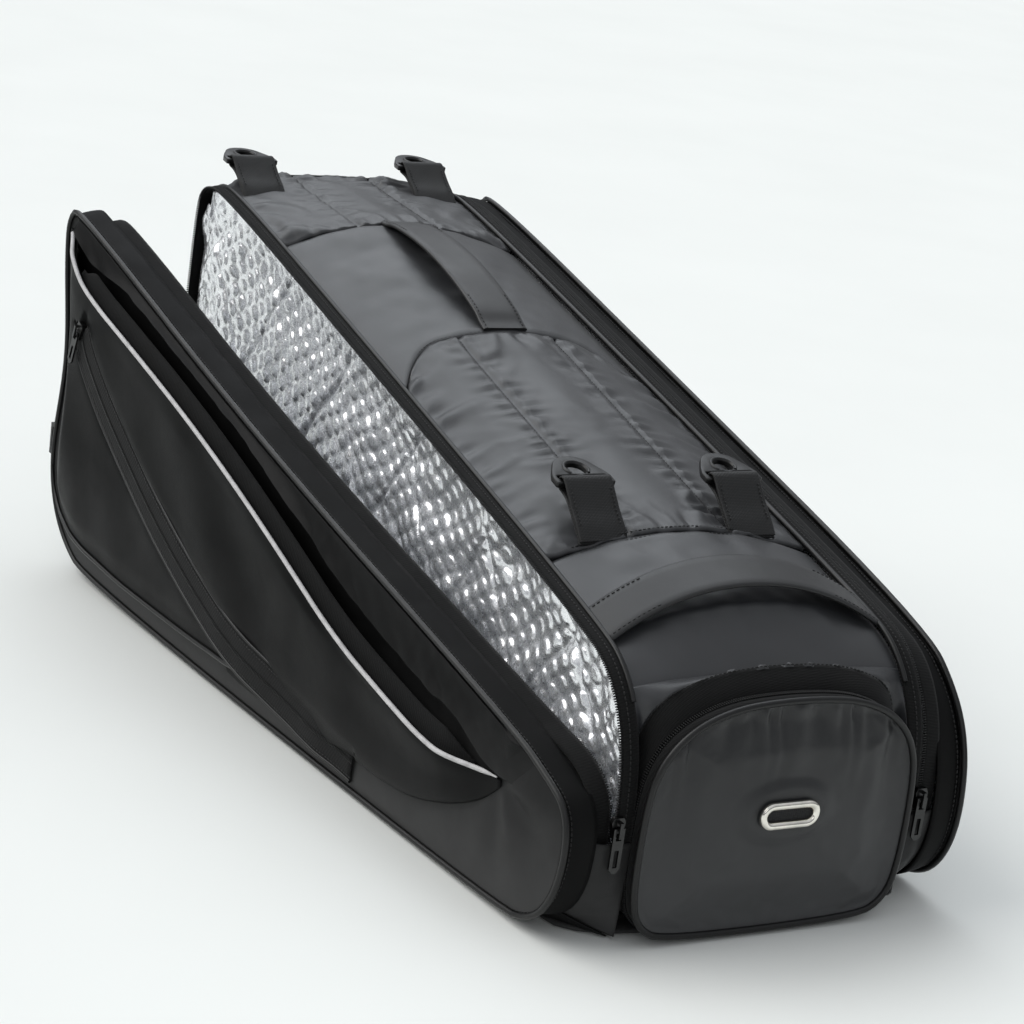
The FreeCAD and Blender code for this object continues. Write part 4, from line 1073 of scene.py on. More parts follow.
def make_gussets(side, label, sag, place):
    """The closed ends of a side compartment, and the fold of cloth under it, between bag and cover."""
    count = 40
    ring = ring_line(sag, 2.0)
    near = ring[(ring[:, 0] > 350) & (ring[:, 1] < 74) & (ring[:, 1] > 8)]
    near = resample(near[np.argsort(near[:, 1])], count)
    far = ring[(ring[:, 0] < -350) & (ring[:, 1] < 100) & (ring[:, 1] > 20)]
    far = resample(far[np.argsort(far[:, 1])], count)
    rise = np.linspace(0, 1, count)
    moving = place(in_xz(near + np.array([0.8, 0]), side * 133.0))
    fixed = np.column_stack([386 + 5 * rise ** 0.7, np.full(count, side * 103.5), 3 + 68 * rise])
    points = loft(fixed, moving, 16, (2.0, 0, 0))
    wrinkle = ripple(points[..., 1], points[..., 2], 26.0, 111 + side, 2) * 0.9
    points[..., 0] += wrinkle * np.sin(np.linspace(0, np.pi, 16))[:, None]
    middle = count // 2
    cloth_between(f"near_gusset_{label}", points, 1.6, SHADED_CLOTH, (1, 0, 0))
    moving = place(in_xz(far - np.array([0.8, 0]), side * 133.0))
    sewn_x = -384 + 9 * (1 - smoothstep(0, 0.22, rise))
    fixed = np.column_stack([sewn_x, np.full(count, side * 103.5), 3 + 92 * rise])
    depth = abs(moving[middle, 1] - fixed[middle, 1])
    points = loft(fixed, moving, 30, (0.16 * max(depth - 30, 0), 0, 0))
    wrinkle = ripple(points[..., 1], points[..., 2], 40.0, 121 + side, 2) * 1.2
    points[..., 0] += wrinkle * np.sin(np.linspace(0, np.pi, 30))[:, None]
    cloth_between(f"far_gusset_{label}", points, 1.6, SHADED_CLOTH, (-1, 0, 0))
    low = ring[(ring[:, 1] < 40) & (ring[:, 0] < 366) & (ring[:, 0] > -370)]
    low = resample(low[np.argsort(low[:, 0])], 160)
    moving = place(in_xz(low + np.array([0, 0.4]), side * 134.0))
    edge_x = low[:, 0] - 11 * smoothstep(330, 370, -low[:, 0]) + 18 * smoothstep(325, 366, low[:, 0])
    edge_y = side * np.interp(edge_x, (-380, -345, 345, 386), (104, 138, 138, 104))
    fixed = np.column_stack([edge_x, edge_y, np.full(160, 3.2)])
    points = loft(fixed, moving, 14, (0, 0, -0.6))
    cloth_between(f"bottom_gusset_{label}", points, 1.2, LINING, (0, 0, 1))


# ---------------------------------------------------------------- outer pocket on the left cover
MOUTH = ((-374, 284), (-354, 274), (-306, 246), (-211, 223), (-114, 198), (-27, 171), (51, 143), (130, 113),
         (202, 97), (255, 87), (320, 88))
POCKET_LOW = ((-376, 122), (-369, 66), (-341, 30), (-296, 13), (58, 12), (88, 18), (116, 27), (150, 31),
              (199, 31), (235, 37), (276, 52), (304, 68), (320, 84))
SWOOSH = ((-308, 214), (-298, 196), (-255, 158), (-190, 117), (-125, 84), (-58, 60), (12, 43), (78, 33),
          (146, 27))
LOW_SEAM = ((-374, 78), (-362, 56), (-330, 40), (-262, 30), (-180, 27), (-90, 28), (-20, 33), (44, 40))
POCKET_Y = 155.3
BAND_HALF = 14.5
MOUTH_LINE = chaikin(MOUTH, False, 3)
LOW_LINE = chaikin(POCKET_LOW, False, 2)
SWOOSH_LINE = smooth_line(SWOOSH, 5.0, False, 3)
SEAM_LINE = chaikin(LOW_SEAM, False, 3)


def mouth_z(x):
    return np.interp(x, MOUTH_LINE[:, 0], MOUTH_LINE[:, 1])


def low_z(x):
    return np.interp(x, LOW_LINE[:, 0], LOW_LINE[:, 1])


def swoosh_distance(x, z):
    """Signed distance above the curved zip's middle line."""
    line = SWOOSH_LINE
    normal = np.column_stack([-tangents(line)[:, 1], tangents(line)[:, 0]])
    flat = np.column_stack([np.ravel(x), np.ravel(z)])
    gap = ((flat[:, None] - line[None]) ** 2).sum(2)
    near = gap.argmin(1)
    rel = flat - line[near]
    signed = (rel * normal[near]).sum(1)
    ends = np.isin(near, (0, len(line) - 1)) & (np.sqrt(gap.min(1)) > np.abs(signed) + 4)
    signed[ends] = 99.0
    return signed.reshape(np.shape(x))


def seam_z(x):
    return np.interp(x, SEAM_LINE[:, 0], SEAM_LINE[:, 1])


def pocket_depth(x, z):
    """How far the pocket's front stands off the side panel."""
    tall = np.maximum(mouth_z(x) - low_z(x), 1.0)
    up = z - low_z(x)
    v = np.clip(up / tall, 0, 1)
    end = 1 - smoothstep(262, 320, x)
    lip = smoothstep(-374, -300, x) * end
    far = 0.2 + 0.8 * smoothstep(-376, -338, x)
    crescent = smoothstep(60, 130, x)
    slow = smoothstep(-3, 40, up)
    quick = np.sqrt(np.clip(1 - (1 - np.clip((up + 1.5) / 20.0, 0, 1)) ** 2, 0, 1))
    body = 11.5 * (slow * (1 - crescent) + quick * crescent * (0.25 + 0.75 * end))
    gape = lip * 6.5 * smoothstep(0.45, 1.0, v)
    away = swoosh_distance(x, z)
    groove = 2.6 * np.exp(-(away / 16.0) ** 4)
    folds = ripple(x + z * 0.8, z * 0.7, 150.0, 81, 2) * 1.7 + ripple(x - z, z, 60.0, 83, 1) * 0.2
    below = seam_z(x) - z
    seam_end = 1 - smoothstep(20, 50, x)
    tuck = seam_end * (4.2 * smoothstep(-1.5, 1.5, below) - 3.0 * smoothstep(2, 16, below))
    crease = seam_end * 1.6 * np.exp(-((below + 3.0) / 5.0) ** 2)
    loose = smoothstep(0, 30, up) * (1 - smoothstep(0.9, 1.0, v)) * (0.35 + 0.65 * end)
    return body * far + gape - groove * far + folds * loose * far - tuck + crease


def make_pocket():
    """The outer pocket's front, mouth and seams."""
    x = np.linspace(-374, 319.5, 250)[None, :]
    v = np.linspace(0, 1, 92)[:, None]
    z = low_z(x) + (mouth_z(x) - low_z(x)) * v
    x = np.broadcast_to(x, z.shape)
    low_edge = 1 - smoothstep(0, 0.05, v)
    points = np.dstack([x, -(POCKET_Y + pocket_depth(x, z) - 1.4 * low_edge), z])
    front = shell("outer_pocket_front", to_cover(points), 2.2, SHADED_POCKET_CLOTH, (0, -1, 0))
    finish_piece(front, "left_cover", "bag_fabric", "outer_pocket")
    along = np.linspace(-366, 317, 170)
    top = mouth_z(along)
    depth = POCKET_Y + pocket_depth(along, top - 0.5)
    lip = np.column_stack([along, -(depth + 0.6), top + 1.6])
    world = to_cover(lip)
    run = tangents(world)
    out = unit(np.cross(run, (0, 0, 1.0)))
    up = np.cross(out, run)
    fade = 0.35 + 0.65 * smoothstep(0, 14, 317 - along)
    tube = sweep("reflective_piping_cord", world, up, out, circle(1.7, 10), REFLECTIVE, taper=fade)
    finish_piece(tube, "left_cover", "reflective", "reflective_piping")
    share = np.linspace(0, 1, 12)[None, :]
    room = np.minimum(34.0, (top - low_z(along)) * 0.7)
    fall = np.maximum(room, 1.0)[:, None]
    inner_z = top[:, None] - fall * share
    inner_x = np.broadcast_to(along[:, None], inner_z.shape)
    behind = 2.9 + 2.5 * share
    inner = np.dstack([inner_x, -(POCKET_Y + pocket_depth(inner_x, inner_z) - behind), inner_z])
    facing_strip = shell("pocket_inner_facing", to_cover(inner), 0.8, LINING, (0, 1, 0))
    finish_piece(facing_strip, "left_cover", "lining")
    picks = (along > -330) & (along < 296)
    tape_top = 15.0 * smoothstep(-330, -300, along[picks]) * smoothstep(0, 40, 300 - along[picks])
    share = np.linspace(0, 1, 7)[None, :]
    lean = -(depth[picks][:, None] - 5.2 - 2.5 * share)
    rise = top[picks][:, None] - 3 + (tape_top[:, None] + 3) * share
    strip = np.dstack([np.broadcast_to(along[picks][:, None], rise.shape), lean, rise])
    tape = shell("pocket_inner_tape", to_cover(strip), 1.0, TAPE, (0, -1, 0))
    finish_piece(tape, "left_cover", "zip_tape")
    low_seam = SEAM_LINE[SEAM_LINE[:, 0] < 46]
    cord = smooth_line(low_seam, 4.0)
    stand = 155.9 + pocket_depth(cord[:, 0], cord[:, 1] + 3.0)
    place = to_cover(in_xz(cord + np.array([0, 1.0]), -stand))
    run = tangents(place)
    up = np.tile((0.0, 0.0, 1.0), (len(run), 1))
    fade = 0.3 + 0.7 * smoothstep(0, 30, 44 - cord[:, 0])
    tube = sweep("pocket_lower_piping", place, up, np.cross(run, up), circle(1.9, 8), PIPING, taper=fade)
    finish_piece(tube, "left_cover", "piping")
    make_upper_flap()
    make_swoosh()


def make_upper_flap():
    """The face's upper part hangs in front of the pocket's mouth, with slack folds."""
    x = np.linspace(-366, 352, 210)[None, :]
    ring = ring_line(SAG, 4.0)
    top_part = ring[ring[:, 1] > np.interp(ring[:, 0], (-381, -370, 352, 372), (284, 250, 90, 84))]
    order = np.argsort(top_part[:, 0])
    upper = np.interp(x[0], top_part[order, 0], top_part[order, 1])[None, :] - 1.5
    gap = 22.0 * smoothstep(-366, -250, x) * (1 - smoothstep(250, 325, x)) + 3
    lower = np.minimum(mouth_z(x) + gap, upper - 4)
    v = np.linspace(0, 1, 30)[:, None]
    z = lower + (upper - lower) * v
    x = np.broadcast_to(x, z.shape)
    fold = ripple(x + z, z * 0.2, 95.0, 91, 3) * 2.2 * (1 - v) + ripple(x, z, 30.0, 92, 2) * 0.3
    sink = smoothstep(296, 350, x)
    y = 155.8 + (4.5 * (1 - v) ** 1.5 + np.abs(fold)) * (1 - sink) - 2.4 * smoothstep(318, 348, x)
    points = np.dstack([x, -y, z])
    piece = shell("left_upper_face", to_cover(points), 1.2, SHADED_CLOTH, (0, -1, 0))
    finish_piece(piece, "left_cover", "bag_fabric")


def make_swoosh():
    """The curved pocket zip: a woven band lying on the pocket's front, with its coil down the middle."""
    line = SWOOSH_LINE
    run = tangents(line)
    normal = np.column_stack([-run[:, 1], run[:, 0]])
    offsets = np.linspace(-BAND_HALF, BAND_HALF, 13)
    rows = []
    ridge = pocket_depth(line[:, 0], line[:, 1])
    padded = np.pad(ridge, 6, mode="edge")
    ridge = np.convolve(padded, np.ones(13) / 13, mode="valid")
    ridge = ridge * (1 - smoothstep(100, 146, line[:, 0])) + 0.6
    for offset in offsets:
        flat = line + normal * offset
        depth = 157.4 + ridge - 0.9 * (offset / BAND_HALF) ** 4
        rows.append(in_xz(flat, -depth))
    points = to_cover(np.stack(rows, axis=1))
    band_piece = shell("pocket_zip_tape_woven", points, 1.2, BELT, (0, -1, 0))
    finish_piece(band_piece, "left_cover", "zip_tape", "pocket_zip_tape")
    middle = points[:, 6] + np.array([0, -0.3, 0])
    spots = resample(middle, int(line_length(middle) / COIL_PITCH))
    along = tangents(spots)
    out = np.tile((0.0, -1.0, 0.0), (len(spots), 1))
    side = np.cross(along, out)
    teeth = box_parts("pocket_coil_teeth", (spots, along, out, side), (1.05, 0.9, 2.6), COIL)
    finish_piece(teeth, "left_cover", "zip_coil")
    for offset, label in ((-15.4, "low"), (15.4, "high")):
        flat = line + normal * offset
        edge = to_cover(in_xz(flat, -(156.2 + ridge)))
        run = tangents(edge)
        lip = sweep(f"pocket_zip_lip_{label}", edge, np.tile((0.0, -1.0, 0.0), (len(edge), 1)),
                    np.cross(run, (0, -1.0, 0)), circle(1.3, 8), PIPING)
        finish_piece(lip, "left_cover", "piping")
    for index, label in ((1, "low"), (11, "high")):
        edge = points[:, index] + np.array([0, -0.15, 0])
        stitches(f"pocket_zip_stitch_{label}", edge, out[:1].repeat(len(edge), 0), "left_cover")


# ---------------------------------------------------------------- shoe door
DOME_SHAPE = ((0.72, 0.0), (0.92, 0.06), (1.0, 0.20), (1.0, 0.62), (0.92, 0.79), (0.74, 0.91), (0.47, 0.98),
              (0.16, 1.0))
DOME_HALF = 104.0
DOME_LOW = 4.5
DOME_TOP = 165.0


def dome_ring(shift=0.0, step=4.0):
    """The door's outline, drawn in by shift."""
    half = DOME_HALF - shift
    floor = DOME_LOW + shift
    tall = DOME_TOP - shift - floor
    right = [(half * a, floor + tall * b) for a, b in DOME_SHAPE]
    left = [(-a, b) for a, b in reversed(right)]
    return smooth_line(right + left, step, True, 3)


def ring_above(ring, height):
    """The part of the door's outline above a height, as one open line."""
    part = ring[ring[:, 1] > height]
    gaps = np.linalg.norm(np.diff(np.vstack([part, part[:1]]), axis=0), axis=1)
    return np.roll(part, -int(np.argmax(gaps)) - 1, axis=0)


def in_yz(line, x):
    return np.column_stack([np.broadcast_to(x, len(line)), line[:, 0], line[:, 1]])


def dome_band(name, node, body, slot, material, sections):
    """A solid band round the door: sections of (shift, x) joined and closed."""
    rings = [in_yz(resample(dome_ring(shift), 160, True), x) for shift, x in sections]
    rings.append(rings[0])
    points = np.stack([np.vstack([ring, ring[:1]]) for ring in rings], axis=0)
    faces = quads(points.shape[0], points.shape[1]).tolist()
    piece = tidy_normals(mesh(name, points.reshape(-1, 3), faces, material, grid_uv(points)))
    finish_piece(piece, body, slot, node)


def make_shoe_door():
    """The shoe compartment's mouth, its zip and the door."""
    dome_band("mouth_frame_cloth", "mouth_frame", "bag", "bag_fabric", SHADED_CLOTH,
              ((-1.0, 364), (0.0, 372), (0.6, 379.5), (4, 380), (4, 366)))
    dome_band("door_zip_tape_woven", "door_zip_tape", "bag", "zip_tape", TAPE,
              ((0.2, 380.2), (-0.4, 384), (0.0, 387.9), (2.6, 387.9), (3, 380.2)))
    dome_band("door_rim_tape", "door_rim", "shoe_door", "zip_tape", TAPE,
              ((0.0, 389), (-0.5, 393), (0.4, 398.6), (3, 398.6), (3, 389)))
    open_part = ring_above(dome_ring(-0.4, 3.0), 12)
    normal = normals_2d(open_part, centre=(0, 85))
    for x, body, label in ((387.4, "bag", "fixed"), (389.6, "shoe_door", "moving")):
        spots = resample(np.hstack([open_part, normal]), int(line_length(open_part) / COIL_PITCH))
        centre = in_yz(spots[:, :2] + spots[:, 2:] * 0.3, x)
        along = in_yz(tangents(spots[:, :2]), 0)
        out = in_yz(spots[:, 2:], 0)
        side = np.tile((1.0, 0.0, 0.0), (len(spots), 1))
        teeth = box_parts(f"door_coil_{label}", (centre, along, out, side), (1.05, 1.5, 2.0), COIL)
        finish_piece(teeth, body, "zip_coil")
    piping = dome_ring(0.1, 3.0)
    out = normals_2d(piping, True, (0, 85))
    tube = sweep("door_piping_cord", in_yz(piping, 400.4), in_yz(out, 0), (1, 0, 0), circle(2.4, 10), PIPING,
                 True)
    finish_piece(tube, "shoe_door", "piping", "door_piping")
    make_door_panel()
    make_eyelet()
    make_shoulders()


def make_shoulders():
    """The woven band round the shoe door and the top's front edge, from the door out to the zips."""
    door = ring_above(dome_ring(-0.6, 3.0), 62)
    if door[0, 0] > 0:
        door = door[::-1]
    count = 161
    door = resample(door, count)
    place = np.linspace(-1, 1, count)
    above = 1 - smoothstep(0.42, 0.74, np.abs(place))
    centre = np.array([0, 60.0])
    out = unit(door - centre)
    first = np.column_stack([np.full(count, 387.6), door])
    second = np.column_stack([374.0 - 4 * (1 - above), door[:, 0] + out[:, 0] * 15 * above,
                              door[:, 1] + out[:, 1] * 13 * above])
    second[:, 1] = np.clip(second[:, 1], -104.6, 104.6)
    bandage = shell("door_band_woven", loft(first, second, 10, (1.5, 0, 0)), 1.4, TAPE, (1, 0, 0.5))
    finish_piece(bandage, "bag", "zip_tape")
    corner = 0.55
    cross = np.clip(place / corner, -1, 1) * 104.8
    top_x = np.full(count, 362.0)
    line = zip_line(15.0, 0.0, 3.0)
    line = line[(line[:, 0] > 362) & (line[:, 1] > 62)]
    line = resample(line[np.argsort(-line[:, 1])], 80)
    travel = np.clip((np.abs(place) - corner) / (1 - corner), 0, 1)
    tape_x = np.interp(travel, np.linspace(0, 1, 80), line[:, 0])
    tape_z = np.interp(travel, np.linspace(0, 1, 80), line[:, 1])
    on_side = np.abs(place) > corner
    outer = np.column_stack([np.where(on_side, tape_x - 1, top_x), cross,
                             np.where(on_side, tape_z - 1, roof_z(top_x, cross) - 1.5)])
    points = loft(second, outer, 18, (2.5, 0, 1.5))
    gather = np.sin(place * 60 + ripple(place * 200, 0 * place, 90, 131, 2) * 2)[None, :]
    fade = np.linspace(1, 0, 18)[:, None] ** 1.5 * np.linspace(0, 1, 18)[:, None] ** 0.4
    points[..., 0] += gather * fade * 1.1 * above[None, :]
    points[..., 2] += gather * fade * 0.7 * above[None, :]
    skin = shell("near_shoulder_cloth", points, 1.8, LIT_TOP_CLOTH, (1, 0, 0.5))
    finish_piece(skin, "bag", "bag_fabric")
    seam = second + np.array([0.8, 0, 0.8])
    up = np.tile((0.7, 0.0, 0.7), (count, 1))
    stitches("shoulder_stitch", seam[12:-12], up[12:-12])


def make_door_panel():
    """The door's puffed face, gathered under its top edge."""
    ring = dome_ring(1.6, 2.5)
    marks = ((DOME_HALF * 0.9, 14), (DOME_HALF * 0.86, 138), (-DOME_HALF * 0.86, 138), (-DOME_HALF * 0.9, 14))
    flat, u, v = patch(ring, marks, 96, 120)
    y, z = flat[..., 0], flat[..., 1]
    rim = np.minimum(np.minimum(u, 1 - u) * 2, np.minimum(v, 1 - v) * 2)
    x = 400.2 + 7.0 * smoothstep(-0.02, 0.55, rim)
    start = np.dstack([x, y, z])
    pinned = (u < 0.001) | (u > 0.999) | (v < 0.001) | (v > 0.999)
    points = puff(facing(start, (1, 0, 0)), pinned, 3.0, 4.0, 0.002)
    if facing(start, (1, 0, 0)) is not start:
        points = points[:, ::-1]
    y, z = points[..., 1], points[..., 2]
    top = np.interp(np.abs(y), [0, 50, 75, 90, 104], [164, 160, 150, 136, 112])
    below = top - z
    comb = np.sin(y / 2.7 + ripple(y, 0 * y, 70, 101, 2) * 2.6) + 0.6 * np.sin(y / 4.9 + 1.0)
    reach = 13 + 16 * (0.5 + 0.5 * np.sin(y / 11.0 + 2.0)) ** 2
    gather = comb * np.exp(-np.clip(below - 3, 0, None) / reach) * smoothstep(-1, 6, below) * 1.5
    gather = gather * (1 - smoothstep(80, 100, np.abs(y)))
    slack = ripple(y, z, 110.0, 103, 2) * 1.2 * smoothstep(0, 0.3, rim)
    points[..., 0] += gather + slack
    eye_low, eye_high = node_box("eyelet_ring")
    middle = (eye_low + eye_high) / 2
    gap = np.sqrt((np.abs(y - middle[1]) / 34) ** 2 + (np.abs(z - middle[2]) / 20) ** 2)
    pressed = 1 - smoothstep(0.8, 1.3, gap)
    points[..., 0] = points[..., 0] * (1 - pressed) + (eye_low[0] - 1.6) * pressed
    points[..., 0] = np.minimum(points[..., 0], eye_low[0] - 1.4 + 6 * smoothstep(1.0, 1.8, gap))
    piece = shell("door_panel_cloth", points, 3.0, LIT_DOOR_CLOTH, (1, 0, 0))
    finish_piece(piece, "shoe_door", "bag_fabric", "door_panel")
    PADDED.append(piece)


def oblong(length, height, centre, count=14):
    radius = height / 2
    half = length / 2 - radius
    turn = np.linspace(-math.pi / 2, math.pi / 2, count)
    right = [(half + radius * math.cos(t), radius * math.sin(t)) for t in turn]
    left = [(-half - radius * math.cos(t), -radius * math.sin(t)) for t in turn]
    return np.array(right + left) + np.array(centre)


def make_eyelet():
    """The polished ring round the door's vent."""
    low, high = node_box("eyelet_ring")
    centre = ((low[1] + high[1]) / 2, (low[2] + high[2]) / 2)
    path = resample(oblong(high[1] - low[1] - 5.4, high[2] - low[2] - 5.4, centre), 72, True)
    normal = normals_2d(path, True, centre)
    section = [(2.7, -1.5), (2.7, 0.1), (2.1, 1.2), (0.6, 1.75), (-0.8, 1.6), (-2.0, 0.9), (-2.6, -0.2),
               (-2.7, -1.5)]
    ring = sweep("eyelet_ring_polished", in_yz(path, (low[0] + high[0]) / 2), in_yz(normal, 0), (1, 0, 0),
                 section, NICKEL, True)
    finish_piece(ring, "shoe_door", "eyelet_metal", "eyelet_ring")
    soften("vent_mesh", 0, NET)
    soften("eyelet_washer", 0.2, NICKEL)


# ---------------------------------------------------------------- straps, hooks and handles
def upper_normals(path, side):
    """A strap's normals, the upper way round."""
    normal = unit(np.cross(tangents(path), side))
    return -normal if normal[:, 2].sum() < 0 else normal


EYE_X = -15.4
EYE_RADIUS = 7.4
TAB_WIDTH = 38.0


def tilt_matrix(position, degrees):
    turn = Matrix.Rotation(math.radians(degrees), 4, "Y")
    return Matrix.Translation(Vector(position) * MM) @ turn


def transformed(points, matrix):
    turned = np.array(matrix.to_3x3()) @ np.asarray(points, float).T
    return turned.T + np.array(matrix.translation) / MM


def rounded_box(x_low, x_high, half, radius, count=5):
    """A rounded rectangle, from its near-high corner round to its near-low one."""
    loop = []
    for cx, cy, first in ((x_high - radius, half - radius, 0), (x_low + radius, half - radius, 90),
                          (x_low + radius, -half + radius, 180), (x_high - radius, -half + radius, 270)):
        for k in range(count):
            angle = math.radians(first + 90 * k / (count - 1))
            loop.append((cx + radius * math.cos(angle), cy + radius * math.sin(angle)))
    return loop


def hook_outline():
    """A moulded ring hook: straight shoulders by the bar and a round nose."""
    arc = np.linspace(math.radians(112), math.radians(248), 20)
    nose = [(-14.8 + 17.0 * math.cos(t), 17.0 * math.sin(t)) for t in arc]
    bar_high = [(2.2, 22.0), (1.2, 23.0), (-6.5, 23.0), (-10.5, 21.4), (-15.5, 19.0)]
    bar_low = [(x, -y) for x, y in reversed(bar_high)]
    return bar_high + nose + bar_low


def make_hooks():
    """The four ring hooks, each with its raised ring and webbing tab."""
    for place_name, spot_tilt in (("near", 14.0), ("far", 6.0)):
        for label in ("left", "right"):
            name = f"{place_name}_hook_{label}"
            at = joint_at(f"{name}_swing")
            matrix = tilt_matrix(at, spot_tilt)
            eye = circle(EYE_RADIUS, 36, (EYE_X, 0)).tolist()
            window = rounded_box(-7.4, -2.6, 19.6, 1.6)
            body = plate(f"{name}_moulding", [hook_outline(), eye, window], 4.4, 0.9, PLASTIC, matrix)
            finish_piece(body, name, "hook_plastic", name)
            turn = np.linspace(math.radians(50), math.radians(310), 44)
            path = np.column_stack([EYE_X + 9.0 * np.cos(turn), 9.0 * np.sin(turn), np.full(44, 2.3)])
            normal = np.column_stack([np.cos(turn), np.sin(turn), np.zeros(44)])
            lean = Matrix.Rotation(math.radians(spot_tilt), 4, "Y")
            section = [(1.3, -0.8), (1.0, 0.5), (0, 0.8), (-1.0, 0.5), (-1.3, -0.8)]
            rim = sweep(f"{name}_raised_ring", transformed(path, matrix), transformed(normal, lean),
                        np.array(lean.to_3x3() @ Vector((0, 0, 1))), section, PLASTIC)
            finish_piece(rim, name, "hook_plastic")
            make_tab(f"{place_name}_tab_{label}", matrix, name == "near_hook_left")


def make_tab(name, matrix, first):
    """Webbing sewn into the seam, round the hook's bar and back under itself."""
    turn = np.linspace(-math.pi / 2, -3 * math.pi / 2 - 0.5, 11)
    loop = [(4.6 * math.cos(t), 0, 4.6 * math.sin(t)) for t in turn]
    points = [(37, 0, -7.6), (24, 0, -6.8), (12, 0, -5.2), (4, 0, -4.6)] + loop + [
        (7.5, 0, 0.5), (12, 0, -2.0), (20, 0, -4.2), (29, 0, -5.6), (37, 0, -6.6)]
    side = np.array(matrix.to_3x3() @ Vector((0, 1, 0)))
    world = transformed(points, matrix)
    local_x = np.array([point[0] for point in points], float)
    upper = np.arange(len(points)) >= 4 + len(loop) // 2
    seat = roof_z(world[:, 0], world[:, 1]) + np.where(upper, 2.6, 0.4)
    down = smoothstep(8, 34, local_x)
    seat = seat - 6.0 * smoothstep(32, 37, local_x)
    world[:, 2] = world[:, 2] * (1 - down) + seat * down
    path = smooth_line(world, 1.5, False, 3)
    section = flat_section(TAB_WIDTH, 1.9)
    piece = sweep(name + "_webbing", path, upper_normals(path, side), side, section, WEBBING)
    length = line_length(path)
    SHEETS.append((piece, TAB_WIDTH, length, TAB_WIDTH * length))
    finish_piece(piece, "bag", "webbing", *(["strap_tabs"] if first else []))
    for shift in (-15.5, 15.5):
        row = transformed([(29, shift, -4.2), (22, shift, -3.1), (14, shift, -1.15), (9, shift, 1.0)], matrix)
        down = smoothstep(8, 34, np.array([29.0, 22.0, 14.0, 9.0]))
        row[:, 2] = row[:, 2] * (1 - down) + (roof_z(row[:, 0], 0 * row[:, 0] + world[0, 1]) + 4.4) * down
        row = smooth_line(row, 1.5)
        up = np.tile(matrix.to_3x3() @ Vector((0, 0, 1)), (len(row), 1))
        label = "a" if shift < 0 else "b"
        stitches(f"{name}_stitch_{label}", row, up, slot="webbing", pitch=2.6, length=1.8)


def half_strap(name, path, normal, width, thick, side, node):
    """One half of a strap: a flat band swept along its path, its transform baked in, and the CAD nodes it
    stands for hidden.
    """
    piece = sweep(name, path, normal, side, flat_section(width, thick), STRAP_CLOTH)
    if node:
        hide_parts(*node)
    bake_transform(piece)
    return piece


def two_halves(names, line, width, thick, side, body, spots, nodes):
    """A strap sewn down at both ends, as two pieces that meet in the middle."""
    path = smooth_line(line, 3.0, False, 3)
    normal = upper_normals(path, side)
    middle = len(path) // 2
    halves = ((slice(0, middle + 1), spots[0], spots[1]), (slice(middle, None), spots[3], spots[2]))
    for name, (part, start, end), node in zip(names, halves, nodes):
        piece = half_strap(name, path[part], normal[part], width, thick, side, node)
        length = line_length(path[part])
        SHEETS.append((piece, width, length, width * length))
    for shift, label in ((-width / 2 + 3.0, "a"), (width / 2 - 3.0, "b")):
        for end_part, end_label in ((slice(0, 14), "start"), (slice(-14, None), "end")):
            row = path[end_part] + np.asarray(side, float) * shift + normal[end_part] * (thick / 2 + 0.1)
            stitches(f"{body}_stitch_{end_label}_{label}", row, normal[end_part])


def make_handles():
    """The long carry handle over the middle panel and the end handle over the near one."""
    x0, x1 = SEAM_X[1] + 2, SEAM_X[2] - 3
    share = np.linspace(0, 1, 25)
    x = x0 + (x1 - x0) * share
    rise = 11.0 * np.sin(np.pi * np.clip((share - 0.04) / 0.92, 0, 1)) ** 0.8
    z = roof_z(x, 0 * x) + rise + 0.3
    z = z - 3.0 * np.exp(-(share / 0.05) ** 2) - 3.0 * np.exp(-((1 - share) / 0.05) ** 2)
    line = np.column_stack([x, np.zeros(25), z])
    two_halves(("long_handle_far", "long_handle_near"), line, 38.0, 3.4, (0.0, 1.0, 0.0), "long_handle",
               (line[2], line[9], line[-10], line[-3]), (("long_handle",), ()))
    y = np.linspace(-ROOF_EDGE + 1, ROOF_EDGE - 1, 29)
    share = np.abs(y) / ROOF_EDGE
    low, high = node_box("end_handle")
    x = (low[0] + high[0]) / 2 - 8.0 + 5.0 * share ** 2
    z = roof_z(x, y) + 12.0 * (1 - share ** 2.4) + 1.2
    line = np.column_stack([x, y, z])
    side = (math.cos(math.radians(14)), 0, -math.sin(math.radians(14)))
    two_halves(("end_handle_left", "end_handle_right"), line, 36.0, 3.6, side, "end_handle",
               (line[2], line[10], line[-11], line[-3]), (("end_handle", "handle_ends"), ()))


# ---------------------------------------------------------------- carried-over hardware and inside
def make_hardware():
    """The sliders, pulls and boards keep their CAD shape."""
    for label in ("left", "right", "door", "pocket"):
        soften(f"{label}_slider", 0.6, GUNMETAL)
        soften(f"{label}_pull", 0.5, GUNMETAL)
    soften("side_buckle", 0.7, PLASTIC)
    soften("side_tab", 0.8, WEBBING)
    soften("base_board", 0.8, BOARD)
    for label in ("left", "right"):
        soften(f"divider_{label}", 0.5, LINING)
    soften("shoe_bulkhead", 0.8, LINING)


# ---------------------------------------------------------------- stage
CAMERA_ANGLES = (59.5, 17.1, 8.0)  # azimuth, elevation and roll, in degrees
CAMERA_PLACE = (1.6416, -0.9612, 0.7415)
FOCAL_MM = 91.8


